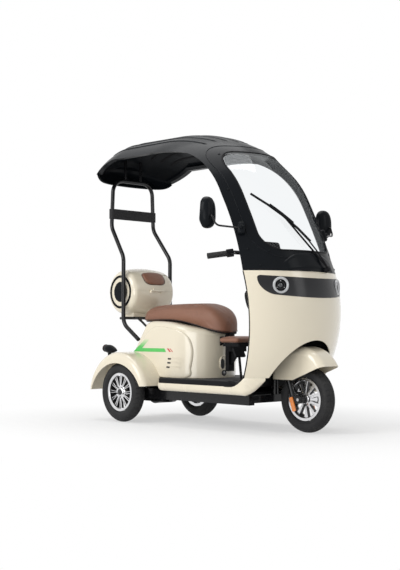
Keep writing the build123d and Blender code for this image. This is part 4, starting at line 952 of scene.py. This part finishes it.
LAMP_BEZEL = [(0.0305, -0.004), (0.0305, 0.0035), (0.0325, 0.0065), (0.0360, 0.0085), (0.0405, 0.0078),
              (0.0432, 0.0045), (0.0437, -0.004)]
LAMP_BOWL = [(0.0300, 0.002), (0.0285, -0.006), (0.0245, -0.016), (0.0170, -0.024), (0.0125, -0.026)]
LAMP_COLLAR = [(0.0205, -0.008), (0.0205, 0.0005), (0.0185, 0.0015), (0.0170, -0.002), (0.0165, -0.020)]
LAMP_LEAF = [(0.0065, -0.001), (0.0120, -0.0025), (0.0120, 0.0025), (0.0065, 0.001)]


def round_lamps():
    stock = Stock()
    eye = [(0.0166, -0.010)]
    eye += [(0.0166 * math.cos(a), -0.010 + 0.011 * math.sin(a)) for a in (0.3, 0.6, 0.9, 1.2, 1.45)]
    eye.append((0.0, 0.001))
    for sign in (-1, 1):
        place = facing(*on_shield(sign * LAMP_SPOT[0], LAMP_SPOT[1]))
        stock.add(*lathe(LAMP_BEZEL, 72, place))
        stock.turned(LAMP_BOWL, 72, place, mark=1)
        stock.turned(LAMP_COLLAR, 60, place, mark=2)
        stock.turned(eye, 48, place, mark=3)
        for k in range(3):
            turn = Matrix.Rotation(math.radians(90 + 120 * k), 4, "Z")
            leaf = place @ turn @ Matrix.Translation((0.0125, 0.0, -0.004))
            stock.add(*plate(LAMP_LEAF, 0.0012, leaf, 0.0003), mark=1)
    coats = [LAMP_RING, ALLOY, DARK_PAINT_AND_PAINTED_SHADE, DISPLAY]
    made = stock.make("round_headlamps", coats, "chassis", "lamp", crease=35.0)
    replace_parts(made, "headlamps")


round_lamps()


# Seat box and side covers

BOX_R, BOX_NOSE_Y, BOX_LOW = 0.214, -0.0414, 0.2665
SLOPE_TOP, SLOPE_LOW = (0.392, 0.590), (0.520, 0.412)
SHOULDER_R = 0.026
COVER_X, COVER_EDGE = 0.222, 0.011
COVER_LINE = [(0.066, 0.268), (0.046, 0.330), (0.036, 0.410), (0.045, 0.470), (0.066, 0.508), (0.107, 0.533),
              (0.175, 0.550), (0.260, 0.560), (0.322, 0.555), (0.372, 0.530), (0.440, 0.471), (0.505, 0.408),
              (0.536, 0.366), (0.530, 0.290), (0.490, 0.269), (0.260, 0.2668)]
HINGE_Y, HINGE_Z, EAR_R = -0.092, 0.510, 0.0068


def slope_y(z):
    """Depth of the body's sloped back at a height."""
    return SLOPE_TOP[0] + (z - SLOPE_TOP[1]) * (SLOPE_LOW[0] - SLOPE_TOP[0]) / (SLOPE_LOW[1] - SLOPE_TOP[1])


def box_ring(inset, rear):
    """Plan of the seat box: a round nose, straight sides, a square back with small corners."""
    r, nose, corner = BOX_R - inset, BOX_NOSE_Y + BOX_R, 0.024
    turns = [(-r * math.cos(math.pi * k / 32), nose - r * math.sin(math.pi * k / 32)) for k in range(33)]
    left = [(r, nose + (rear - corner - nose) * k / 10) for k in range(1, 10)]
    quarter = [math.pi * k / 10 for k in range(6)]
    bend = [(r - corner + corner * math.cos(a), rear - corner + corner * math.sin(a)) for a in quarter]
    back = [((r - corner) * (1 - k / 4), rear) for k in range(1, 8)]
    half = turns + left + bend + back
    return half + [(-x, y) for x, y in reversed(bend)] + [(-x, y) for x, y in reversed(left)]


def body_box():
    rows = [(0.0, None), (0.0, 0.16)]
    quarter = [math.pi / 12 * k for k in range(7)]
    rows += [(SHOULDER_R * (1 - math.cos(a)), SHOULDER_R * (1 - math.sin(a))) for a in quarter]
    rows += [(0.045, 0.0), (0.070, 0.001), (0.074, 0.004), (0.070, 0.010), (0.022, 0.020), (0.006, 0.046)]
    rows.append((0.006, None))
    points = []
    for row, (inset, drop) in enumerate(rows):
        foot = BOX_LOW + (0.006 if row else 0.0)
        rear = slope_y(SLOPE_TOP[1] - drop if drop is not None else foot) - inset
        ring = box_ring(inset, rear)
        points += [Vector((x, y, foot if drop is None else seat_height(y) - drop)) for x, y in ring]
    stock = Stock().add(points, grid(len(rows), len(ring), False, True))
    bottom = box_ring(0.003, slope_y(BOX_LOW) - 0.003)
    stock.add(*plate(bottom, 0.004, Matrix.Translation((0, 0, BOX_LOW + 0.001))))
    bends = [0.3 + 0.3 * k for k in range(11)]
    ear = [(-0.030, 0.440), (-0.030, 0.500), (-0.080, 0.502)]
    ear += [(HINGE_Y + EAR_R * math.cos(a), HINGE_Z + EAR_R * math.sin(a)) for a in bends]
    for x in (-0.030, 0.012):
        stock.add(*plate(ear, 0.018, Matrix.Translation((x, 0, 0)) @ UPRIGHT, 0.001), mark=1)
    stock.add(*pipe([(-0.030, HINGE_Y, HINGE_Z), (0.030, HINGE_Y, HINGE_Z)], 0.004, 16), mark=1)
    made = stock.make("seat_box_moulded", [CREAM, MOULDED], "chassis", "cream_paint", crease=32.0)
    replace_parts(made, "seat_box")


body_box()


def body_side(y, out):
    """Half width of the body at a depth: straight sides, then round the nose."""
    ahead = max(0.0, BOX_NOSE_Y + BOX_R - y)
    return math.sqrt((BOX_R + out) ** 2 - ahead**2)


def side_cover(name, sign):
    """A side cover: a rounded panel with a soft edge, wrapped on the seat box."""
    line = closed_curve(COVER_LINE)
    middle = Vector((0.280, 0.415))
    rows = [(0.0, -0.002), (0.0, 0.0015)]
    quarter = [math.pi / 14 * k for k in range(1, 8)]
    rows += [(COVER_EDGE * (1 - math.cos(a)), 0.0015 + 0.006 * math.sin(a)) for a in quarter]
    rings = [(1.0, inset, out) for inset, out in rows]
    rings += [(share, COVER_EDGE, 0.008) for share in (0.92, 0.8, 0.65, 0.5, 0.35, 0.2, 0.06)]
    points = []
    for share, inset, out in rings:
        for p in line:
            reach = p - middle
            q = middle + reach * share * (1 - inset / reach.length)
            points.append(Vector((sign * body_side(q.x, out), q.x, q.y)))
    n = len(line)
    total = len(points) // n
    faces = grid(total, n, False, True) + [tuple(range((total - 1) * n, total * n))]
    return piece(name, points, faces, CREAM, "chassis", "cream_paint", crease=50.0)


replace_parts(side_cover("side_cover_right_moulded", -1), "side_cover_right")
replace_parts(side_cover("side_cover_left_moulded", 1), "side_cover_left")

VENTS = [(0.178, 0.374), (0.182, 0.351), (0.190, 0.326)]
WEDGE = [(0.503, 0.4120), (0.402, 0.4830), (0.360, 0.4830), (0.424, 0.4330), (0.222, 0.4330), (0.208, 0.4120)]
SLASHES = [(0.200, 0.013), (0.176, 0.006)]


def cover_details():
    slots, ribs, green, red = Stock(), Stock(), Stock(), Stock()
    for sign in (-1, 1):
        face = facing((sign * COVER_X, 0.0, 0.0), (sign, 0.0, 0.0))
        for y, z in VENTS:
            # Painted shade: each vent opening is a thin dark plate laid on the cover, not a hole.
            slot = [(y + u, z + v) for u, v in round_box(0.0140, 0.0050, 0.0036)]
            slots.add(*plate(mirrored(slot, sign), 0.0009, face, 0.0002))
            crease = [(y - 0.050 + u, z + 0.0055 + v) for u, v in round_box(0.052, 0.0013, 0.0012)]
            ribs.add(*plate(mirrored(crease, sign), 0.0014, face, 0.0006))
        green.add(*plate(mirrored(WEDGE, sign), 0.0007, face))
        for y, wide in SLASHES:
            slash = [(y, 0.4330), (y - wide, 0.4330), (y - wide - 0.022, 0.4135), (y - 0.022, 0.4135)]
            red.add(*plate(mirrored(slash, sign), 0.0008, face))
    slots.make("cover_vent_slot_shades", DARK_PAINT_AND_PAINTED_SHADE, "chassis", "black_plastic")
    ribs.make("cover_vent_ribs", CREAM, "chassis", "cream_paint")
    green.make("cover_green_stripe", GREEN_FILM, "chassis", "cream_paint")
    red.make("cover_red_slashes", RED_FILM, "chassis", "cream_paint")


cover_details()


RECESS_Z = 0.350


def nose_details():
    """On the seat box's nose: a pill-shaped grip recess whose hole is a dark plate of painted shade, and the
    round lock under it with a keyhole of painted shade.
    """
    stock = Stock()
    front = facing((0.0, BOX_NOSE_Y - 0.001, 0.0), (0.0, -1.0, 0.0))
    rim = [(x, z + RECESS_Z) for x, z in round_box(0.030, 0.040, 0.0295, 8)]
    stock.add(*pipe([front @ Vector((x, z, 0.0)) for x, z in rim], 0.0034, 10, True), mark=0)
    recess = [(x * 0.92, (z - RECESS_Z) * 0.94 + RECESS_Z) for x, z in rim]
    stock.add(*plate(recess, 0.0016, front, 0.0005), mark=0)
    # Painted shade: a dark plate stands in for the hole inside the recess.
    hole_shade = [(x * 0.46 - 0.012, (z - RECESS_Z) * 0.72 + 0.346) for x, z in rim]
    stock.add(*plate(hole_shade, 0.0034, front, 0.0012), mark=1)
    port = facing((0.0, BOX_NOSE_Y - 0.001, 0.294), (0.0, -1.0, 0.0))
    collar = [(0.0085, 0.0012), (0.0100, 0.0034), (0.0150, 0.0040), (0.0165, 0.0026), (0.0170, -0.002)]
    stock.turned(collar, 40, port, mark=1)
    stock.turned([(0.0, 0.0022), (0.0060, 0.0020), (0.0086, 0.0010)], 32, port, mark=2)
    # Painted shade: the keyhole is a thin dark slab on the lock.
    stock.slab(0.0009, 0.0045, 0.0008, 0.0028, port, mark=1)
    stock.make("seat_box_recess_and_lock", [CREAM, DARK_PAINT_AND_PAINTED_SHADE, STEEL], "chassis", "black_plastic", crease=35.0)


nose_details()


# Sill, floor tray and wheel tub

SILL_HALF, SILL_LOW, SILL_TOP = 0.308, 0.196, 0.240
SILL_FRONT, SILL_CORNER = 0.236, 0.318
SHIELD_FOOT, SHIELD_FOOT_R = 0.2897, 0.402


def sill_line():
    """The sill's outer line on one side, from the wheel arch back round the rear corner."""
    line = []
    for k in range(13):
        x = SILL_FRONT + (SILL_CORNER - SILL_FRONT) * k / 12
        line.append((x, SHIELD_AXIS_Y - math.sqrt(SHIELD_FOOT_R**2 - x**2)))
    line += [(0.3200, -0.498), (0.3195, -0.475), (0.3170, -0.450), (0.3135, -0.425), (0.3105, -0.395),
             (0.3085, -0.360), (0.308, -0.320)]
    line += [(SILL_HALF, -0.320 + 0.485 * k / 12) for k in range(1, 13)]
    corner = [math.pi / 16 * k for k in range(1, 9)]
    line += [(SILL_HALF - 0.04 * (1 - math.cos(a)), 0.165 + 0.04 * math.sin(a)) for a in corner]
    return [Vector(p) for p in line + [(0.18, 0.205), (0.09, 0.205), (0.0, 0.205)]]


def sill_top(y):
    """The sill's upper edge: level along the floor, rising in a curve to the shield's foot."""
    past = min(1.0, max(0.0, (y + 0.515) / 0.115))
    return SILL_TOP + (SHIELD_FOOT - SILL_TOP) * (1 - past) ** 2.2


def sill():
    stock = Stock()
    line = sill_line()
    quarter = [math.pi / 12 * j for j in range(7)]
    for sign in (-1, 1):
        points, travel = [], 0.0
        for k, p in enumerate(line):
            travel += (p - line[k - 1]).length if k else 0.0
            run = (line[min(k + 1, len(line) - 1)] - line[max(k - 1, 0)]).normalized()
            inward = Vector((-run.y, run.x))
            top = sill_top(p.y)
            low = SILL_LOW + 0.078 * max(0.0, 1 - travel / 0.125) ** 2.0
            r = min(0.030, (top - low) * 0.62)
            section = [(0.0, top)]
            section += [(r * (1 - math.cos(a)), low + r * (1 - math.sin(a))) for a in quarter]
            section += [(r + 0.026, low), (r + 0.026, low + 0.005), (r, low + 0.008), (0.0065, low + r)]
            section.append((0.0055, top))
            points += [Vector((sign * (p.x + inward.x * d), p.y + inward.y * d, z)) for d, z in section]
        sides = len(section)
        stock.add(points, grid(len(line), sides, False, True))
        stock.add(points[:sides], [tuple(range(sides))])
    stock.slab(0.270, 0.305, 0.03, 0.006, Matrix.Translation((0.0, -0.110, 0.198)), 0.001, mark=1)
    made = stock.make("sill_moulded", [CREAM, MOULDED], "chassis", "cream_paint", crease=40.0)
    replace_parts(made, "sill_pan")


sill()


TOE_CORNER = [(0.160, -0.410), (0.303, -0.410), (0.306, -0.450), (0.310, -0.480), (0.311, -0.508),
              (0.258, -0.553), (0.238, -0.492), (0.199, -0.455), (0.160, -0.436)]
TOE_BOARD = [(-0.174, 0.0), (0.174, 0.0), (0.162, 0.140), (0.140, 0.296), (-0.140, 0.296), (-0.162, 0.140)]
MAT_RIBS, TOE_RIBS = 19, 7


def floor_tray():
    """The black floor with its rubber mat, and the toe board up to the glove boxes."""
    stock = Stock()
    level = Matrix.Translation((0.0, -0.1055, 0.0))
    stock.slab(0.300, 0.3105, 0.040, 0.0337, level @ Matrix.Translation((0, 0, 0.2323)), 0.004)
    mat = level @ Matrix.Translation((0.0, -0.1145, 0.2658))
    stock.slab(0.258, 0.123, 0.024, 0.0016, mat, 0.0008, mark=1)
    for k in range(MAT_RIBS):
        rib = mat @ Matrix.Translation((-0.234 + 0.026 * k, 0.0, 0.0012))
        stock.slab(0.0045, 0.108, 0.0042, 0.0022, rib, 0.0012, mark=1)
    for sign in (-1, 1):
        strip = level @ Matrix.Translation((sign * 0.281, 0.0, 0.2658))
        stock.slab(0.0065, 0.262, 0.006, 0.0024, strip, 0.0014, mark=1)
        corner = mirrored(TOE_CORNER, sign)
        stock.add(*plate(corner, 0.012, Matrix.Translation((0.0, 0.0, 0.2535)), 0.001))
    rise = facing((0.0, -0.417, 0.262), (0.0, 0.9962, -0.0870))
    stock.add(*plate(TOE_BOARD, 0.0075, rise, 0.002))
    for k in range(TOE_RIBS):
        rib = rise @ Matrix.Translation((0.0, 0.060 + 0.034 * k, 0.0065))
        stock.slab(0.122, 0.0035, 0.0032, 0.0025, rib, 0.0012, mark=1)
    made = stock.make("floor_tray_and_mat", [MOULDED, MAT], "chassis", "black_plastic", crease=35.0)
    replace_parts(made, "floor_board")


floor_tray()


WELL_BACK = [(0.240, -0.490), (0.200, -0.452), (0.150, -0.432), (0.080, -0.4275), (0.0, -0.4265)]
WELL_HEIGHTS = (0.245, 0.30, 0.35, 0.395, 0.43, 0.48, 0.52, 0.567)
WELL_FEET, WELL_WALL, WELL_SLOPE = (0.284, 0.266), 0.003, 0.15
LINING = 0.0085


def well_end(z):
    """Where the wall of the front wheel's well meets the shield's inner face at a height."""
    z = max(z, SHIELD_FOOT)
    y = -0.558 - 0.2 * (z - SHIELD_FOOT)
    return math.sqrt((shield_radius(z) - 0.012) ** 2 - (y - SHIELD_AXIS_Y) ** 2), y


def wheel_tub():
    """The front wheel's dark well: a wall round behind the wheel, between the shield's sides, and a roof."""
    stock = Stock()
    count, wall = len(WELL_BACK), []
    rows = [(z, 0.0) for z in WELL_HEIGHTS] + [(z, WELL_WALL) for z in reversed(WELL_HEIGHTS)]
    for k in range(2 * count + 1):
        j = min(k, 2 * count - k)
        for z, back in rows:
            x, y = WELL_BACK[j - 1] if j else well_end(z)
            low = WELL_FEET[j] if j < 2 else z
            rise = WELL_SLOPE * (WELL_BACK[-1][1] - y) if z == WELL_HEIGHTS[-1] else 0.0
            wall.append(Vector((x if k <= count else -x, y + back, max(z, low) + rise)))
    n = len(rows)
    ends = [tuple(range(n)), tuple(range(len(wall) - n, len(wall)))]
    stock.add(wall, grid(2 * count + 1, n, False, True) + ends)

    end = well_end(WELL_HEIGHTS[-1])
    back_line = [Vector(p) for p in [end] + WELL_BACK]
    columns, steps = 41, 9
    over = []
    for j in range(columns):
        x = end[0] * (2 * j / (columns - 1) - 1)
        k = next(i for i in range(1, len(back_line)) if back_line[i].x <= abs(x) + 1e-9)
        a, b = back_line[k - 1], back_line[k]
        back = a.y + (b.y - a.y) * (a.x - abs(x)) / (a.x - b.x)
        front = SHIELD_AXIS_Y - math.sqrt((shield_radius(0.60) - LINING) ** 2 - x**2)
        line = [back + (front - back) * i / (steps - 1) for i in range(steps)]
        ring = [(y, 0.0) for y in line] + [(y, WELL_WALL) for y in reversed(line)]
        low = WELL_HEIGHTS[-1] - WELL_WALL
        over += [Vector((x, y, low + WELL_SLOPE * (WELL_BACK[-1][1] - y) + rise)) for y, rise in ring]
    stock.add(over, grid(columns, 2 * steps, False, True))
    stock.make("front_wheel_tub", MOULDED, "chassis", "black_plastic", crease=50.0)


wheel_tub()


# Knee panel behind the leg shield, edge trim, rear lamps and mirror backs

EDGE_ARC = circle_through((-0.556, 0.844), (-0.599, 0.600), (-0.515, 0.290))


def shield_edge(z, out):
    y = EDGE_ARC[0] - math.sqrt(EDGE_ARC[2] ** 2 - (z - EDGE_ARC[1]) ** 2)
    r = shield_radius(z) + out
    return math.sqrt(r**2 - (y - SHIELD_AXIS_Y) ** 2), y


GLOVE_DEPTH = [(0.572, -0.612), (0.600, -0.588), (0.640, -0.556), (0.690, -0.532), (0.730, -0.524),
               (0.752, -0.530)]
GLOVE_ROWS, GLOVE_SQUARE = 15, 0.42


def knee_panel():
    """The black lining of the leg shield, with a round-cornered glove box on each side of the column."""
    stock = Stock()
    rows, columns = 24, 49
    for face in (0.0062, 0.0105):
        points = []
        for i in range(rows):
            z = 0.500 + 0.3425 * i / (rows - 1)
            x_edge, y_edge = shield_edge(z, -0.006)
            limit = math.atan2(x_edge, SHIELD_AXIS_Y - y_edge)
            for j in range(columns):
                a = limit * (2 * j / (columns - 1) - 1)
                r = shield_radius(z) - face
                points.append(Vector((r * math.sin(a), SHIELD_AXIS_Y - r * math.cos(a), z)))
        stock.add(points, grid(rows, columns))
    for sign in (-1, 1):
        points, count = [], 44
        last = GLOVE_ROWS - 1
        for k in range(GLOVE_ROWS):
            t = k / last
            z = 0.572 + 0.180 * t
            close = max(0.0, 1 - abs(2 * t - 1) ** 7) ** (1 / 7) if 0 < k < last else 0.55
            wide = 0.060 + 0.036 * min(1.0, t * 2.2)
            back = between(GLOVE_DEPTH, z)
            for a in around(count):
                x = 0.240 + wide * close * bulge(math.cos(a), GLOVE_SQUARE)
                wall = SHIELD_AXIS_Y - math.sqrt((shield_radius(z) - LINING) ** 2 - x**2)
                share = 0.5 + 0.5 * bulge(math.sin(a), GLOVE_SQUARE)
                points.append(Vector((sign * x, wall + max(0.0, back - wall) * share * close, z)))
        ends = [tuple(range(count)), tuple(range(last * count, GLOVE_ROWS * count))]
        stock.add(points, grid(GLOVE_ROWS, count, False, True) + ends)
        heights = [0.615 + 0.011 * k for k in range(11)]
        for x in (0.180, 0.220, 0.260, 0.300):
            rib = [(sign * x, between(GLOVE_DEPTH, z) + 0.001, z) for z in heights]
            stock.add(*pipe(rib, 0.0035, 8))
    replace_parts(stock.make("knee_panel", MOULDED, "chassis", "black_plastic", crease=45.0), "inner_shield")


knee_panel()


TRIM_LOW, TRIM_TOP = 0.300, 0.842


def edge_trim():
    stock = Stock()
    for sign in (-1, 1):
        foot = [p for p in reversed(sill_line()) if -0.516 < p.y < -0.33 and p.x > 0.3]
        route = [(sign * (p.x - 0.003), p.y, sill_top(p.y) + 0.001) for p in foot]
        for k in range(33):
            z = TRIM_LOW + (TRIM_TOP - TRIM_LOW) * k / 32
            x, y = shield_edge(z, -0.003)
            route.append((sign * x, y + 0.001, z))
        stock.add(*pipe(route, 0.0042, 10))
    stock.make("shield_edge_trim", MOULDED, "chassis", "black_plastic")


edge_trim()


def egg(place, length, wide, tall, steps=36):
    """A smooth egg along local Y: drawn out at the front, blunt at the back."""
    points, rows = [], 22
    for k in range(rows):
        t = k / (rows - 1)
        r = math.sin(math.pi * t) ** 0.72 * (1.0 + 0.62 * (t - 0.62))
        for a in around(steps):
            across = Vector((wide * r * math.cos(a), length * (t - 0.5), tall * r * math.sin(a)))
            points.append(place @ across)
    return points, grid(rows, steps, False, True)


POD_X = 0.288
POD_LENS = [(0.0205, 0.000), (0.0195, 0.008), (0.0155, 0.0145), (0.0085, 0.0185), (0.0, 0.020)]


def lamp_pods():
    stock = Stock()
    for sign in (-1, 1):
        lean = Matrix.Rotation(sign * 0.10, 4, "Z") @ Matrix.Rotation(0.10, 4, "X")
        place = Matrix.Translation((sign * POD_X, 0.642, 0.424)) @ lean
        stock.add(*egg(place, 0.150, 0.0300, 0.0265), mark=0)
        back = place @ Matrix.Translation((0.0, 0.055, 0.0)) @ Matrix.Rotation(-math.pi / 2, 4, "X")
        stock.turned(POD_LENS, 40, back, mark=1)
        stock.turned([(0.0228, -0.004), (0.0232, 0.001), (0.0205, 0.003)], 40, back, mark=2)
        stalk = [(sign * POD_X, y, z) for y, z in ((0.650, 0.374), (0.652, 0.396), (0.655, 0.414))]
        stock.add(*pipe(stalk, 0.0105, 18), mark=2)
    made = stock.make("rear_signal_pods", [BLACK, AMBER, MOULDED], "chassis", "black_plastic", crease=45.0)
    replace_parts(made, "rear_signals")


lamp_pods()


TAIL_LAMP = Vector((0.118, 0.7466, 0.288))


def tail_lamps():
    """Two plain red lamps in dark bezels on the tail panel."""
    stock = Stock()
    for sign in (-1, 1):
        place = facing((sign * TAIL_LAMP.x, TAIL_LAMP.y, TAIL_LAMP.z), (0.0, 0.998, 0.066))
        stock.slab(0.052, 0.0185, 0.0150, 0.005, place, 0.0015)
        stock.slab(0.047, 0.0135, 0.0120, 0.010, place, 0.0035, mark=1)
    stock.make("tail_lamp_pair", [MOULDED, RED], "chassis", "lamp", crease=35.0)


tail_lamps()


MIRROR_ROWS = [(0.86, 0.0085), (0.93, 0.0100), (0.985, 0.0085), (1.0, 0.004), (1.0, -0.004), (0.985, -0.012),
               (0.93, -0.0215), (0.80, -0.0300), (0.58, -0.0362), (0.30, -0.0390), (0.0, -0.0398)]
MIRROR_SIDES = 56


def mirror_backs():
    """Rounded mirror housings: a domed back with a raised rim round the glass."""
    stock = Stock()
    for sign in (-1, 1):
        spin = Matrix.Rotation(math.radians(-12.0 * sign), 4, "Z")
        place = Matrix.Translation((sign * 0.461, -0.391, 1.149)) @ spin
        points = []
        for share, y in MIRROR_ROWS:
            for a in around(MIRROR_SIDES):
                z = 0.083 * bulge(math.sin(a), 2 / 2.7)
                x = (0.0505 - 0.0045 * math.sin(a)) * bulge(math.cos(a), 2 / 2.5)
                points.append(place @ Vector((x * share, y, z * share)))
        stock.add(points, grid(len(MIRROR_ROWS), MIRROR_SIDES, False, True))
        clamp = facing(*on_arch(0.300, sign * 43.0, 0.004))
        stock.slab(0.019, 0.034, 0.013, 0.020, clamp, 0.006)
        stock.turned([(0.0, 0.0305), (0.007, 0.030), (0.0105, 0.027), (0.011, 0.018)], 24, clamp)
    made = stock.make("mirror_backs", BLACK, "chassis", "black_gloss", crease=60.0)
    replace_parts(made, "mirror_shells")


mirror_backs()


# Windscreen surround, cowl hood and wiper

def strip_place(x, z, out=0.0):
    """Point on the arched strip at a width and a height."""
    angle = math.degrees(math.asin(x / ARCH_R))
    low, high = 0.0, 1.3
    for _ in range(40):
        middle = (low + high) / 2
        low, high = (middle, high) if on_arch(middle, angle)[0].z < z else (low, middle)
    return on_arch(low, angle, out)[0]


SCREEN_Z, SCREEN_STEP = 1.235, 0.03


def screen_line(grow, out):
    """A line round the windscreen, grown out from the glass's own edge."""
    ring = [Vector(p) for p in round_box(0.258 + grow, 0.277 + grow, 0.092 + grow, 8)]
    outline = []
    for p, q in zip(ring, ring[1:] + ring[:1]):
        steps = max(1, round((q - p).length / SCREEN_STEP))
        outline += [p.lerp(q, k / steps) for k in range(steps)]
    return [strip_place(x, z + SCREEN_Z, out) for x, z in outline]


def screen_surround():
    seal = pipe(screen_line(0.004, -0.0005), 0.0042, 10, True)
    piece("windscreen_seal", *seal, MOULDED, "chassis", "black_plastic")
    bead = pipe(screen_line(0.046, -0.0012), 0.0036, 10, True)
    piece("windscreen_frame_bead", *bead, BLACK, "chassis", "black_gloss")


screen_surround()


def cowl_hood():
    """The low hood under the windscreen: a raised panel with round shoulders."""
    rows, columns = 15, 41
    points = []
    for i in range(rows):
        v = i / (rows - 1)
        for j in range(columns):
            u = 2 * j / (columns - 1) - 1
            angle = 23.5 * u
            top = 0.112 - 0.050 * abs(u) ** 3.2
            rim = min(1.0, (1 - abs(u)) / 0.10, v / 0.12, (1 - v) / 0.20)
            lift = 0.0065 * math.sin(math.pi / 2 * max(rim, 0.0)) ** 0.8
            points.append(on_arch(0.016 + (top - 0.016) * v, angle, lift - 0.0006)[0])
    piece("cowl_hood", points, grid(rows, columns), BLACK, "chassis", "black_gloss", crease=60.0)


cowl_hood()

WIPER_BLADE = [(0.483, -29.6), (0.400, -21.0), (0.330, -13.5), (0.250, -5.0), (0.175, 2.8)]
WIPER_PIVOT, WIPER_JOINT = (0.014, 11.0), (0.336, -14.2)
WIPER_CAP = [(0.0, 0.030), (0.007, 0.0295), (0.011, 0.026), (0.013, 0.018), (0.015, 0.0)]


def wiper_dress():
    stock = Stock()
    spine = [on_arch(s, a, 0.0125)[0] for s, a in WIPER_BLADE]
    stock.add(*pipe(spine, 0.0048, 10))
    s, a = WIPER_JOINT
    holder = [on_arch(s + 0.03 * k, a - 3.1 * k, 0.019)[0] for k in (-2, -1, 0, 1, 2)]
    stock.add(*pipe(holder, 0.0058, 12))
    arm = []
    for t in (0.0, 0.12, 0.3, 0.5, 0.75, 1.0):
        s, a = (start + (end - start) * t for start, end in zip(WIPER_PIVOT, WIPER_JOINT))
        arm.append(on_arch(s, a, 0.021 + 0.006 * math.sin(math.pi * t))[0])
    stock.add(*pipe(arm, 0.0040, 10))
    stock.turned(WIPER_CAP, 28, facing(*on_arch(*WIPER_PIVOT)))
    stock.make("wiper_arm_and_blade", MOULDED, "chassis", "black_plastic")


wiper_dress()


# Camera, floor and light

CAMERA_PLACE = Vector((-4.0834, -4.2710, 0.5320))
CAMERA_TURN, CAMERA_RISE = math.radians(-42.66), math.radians(-2.58)
PHOTO_HEIGHT_PX, FOCAL_PX, SENSOR = 570.0, 1025.15, 36.0


def camera():
    level = math.cos(CAMERA_RISE)
    back = Vector((math.sin(CAMERA_TURN) * level, -math.cos(CAMERA_TURN) * level, math.sin(CAMERA_RISE)))
    data = bpy.data.cameras.new("studio_camera")
    data.sensor_width = SENSOR
    data.lens = FOCAL_PX / PHOTO_HEIGHT_PX * SENSOR
    data.clip_end = 100.0
    eye = bpy.data.objects.new("studio_camera", data)
    scene.collection.objects.link(eye)
    eye.location = CAMERA_PLACE
    eye.rotation_mode = "QUATERNION"
    eye.rotation_quaternion = (-back).to_track_quat("-Z", "Y")
    scene.camera = eye


def studio_floor():
    size = 30.0
    mesh = bpy.data.meshes.new("studio_floor")
    corners = [(-size, -size, 0), (size, -size, 0), (size, size, 0), (-size, size, 0)]
    mesh.from_pydata(corners, [], [(0, 1, 2, 3)])
    material = bpy.data.materials.new("pale_floor")
    material.use_nodes = True
    tree = material.node_tree
    tree.nodes.remove(tree.nodes["Principled BSDF"])
    rays = tree.nodes.new("ShaderNodeLightPath")
    seen = Shade(tree, rays.outputs["Is Camera Ray"])
    shown = seen.maths("MAXIMUM", seen, Shade(tree, rays.outputs["Is Glossy Ray"]))
    spot = Shade(tree, tree.nodes.new("ShaderNodeTexCoord").outputs["Object"])
    away = spot.add("VectorMath", out=1, settings={"operation": "LENGTH"}, in0=spot)
    matt = seen.add("BsdfDiffuse", Color=(0.86, 0.86, 0.86, 1.0))
    white = seen.add("Emission", Color=(1.0, 1.0, 1.0, 1.0), Strength=1.0)
    mixed = seen.add("MixShader", in0=shown * (0.50 + 0.50 * away.ease(0.9, 1.9)), in1=matt, in2=white)
    tree.links.new(mixed.socket, tree.nodes["Material Output"].inputs["Surface"])
    mesh.materials.append(material)
    plane = bpy.data.objects.new("studio_floor", mesh)
    scene.collection.objects.link(plane)


def studio_sky():
    world = bpy.data.worlds.new("studio_sky")
    scene.world = world
    world.use_nodes = True
    tree = world.node_tree
    rays = tree.nodes.new("ShaderNodeLightPath")
    seen = [Shade(tree, rays.outputs[f"Is {kind} Ray"]) for kind in ("Camera", "Glossy", "Transmission")]
    total = seen[0] + seen[1] + seen[2]
    direct = total.maths("MINIMUM", total, 1.0)
    soft = direct.add("Background", Color=(1.0, 1.0, 1.0, 1.0), Strength=0.42)
    white = direct.add("Background", Color=(1.0, 1.0, 1.0, 1.0), Strength=1.0)
    mixed = direct.add("MixShader", in0=direct, in1=soft, in2=white)
    tree.links.new(mixed.socket, tree.nodes["World Output"].inputs["Surface"])


def softbox(name, place, aim, size, power):
    data = bpy.data.lights.new(name, "AREA")
    data.shape = "RECTANGLE"
    data.size, data.size_y = size
    data.energy = power
    lamp = bpy.data.objects.new(name, data)
    scene.collection.objects.link(lamp)
    lamp.location = place
    lamp.rotation_mode = "QUATERNION"
    lamp.rotation_quaternion = (Vector(aim) - Vector(place)).to_track_quat("-Z", "Y")


camera()
studio_floor()
studio_sky()
softbox("key_softbox", (-4.2, 0.6, 3.2), (0.0, 0.0, 0.7), (2.4, 2.4), 100.0)
softbox("front_softbox", (1.2, -4.2, 2.6), (0.0, -0.3, 0.8), (1.0, 2.6), 20.0)
softbox("top_softbox", (0.2, 0.6, 4.4), (0.0, 0.1, 0.8), (3.0, 3.0), 90.0)
softbox("fill_softbox", (-4.0, -1.7, 0.9), (0.0, 0.1, 0.5), (2.6, 1.8), 50.0)

scene.view_settings.view_transform = "Standard"
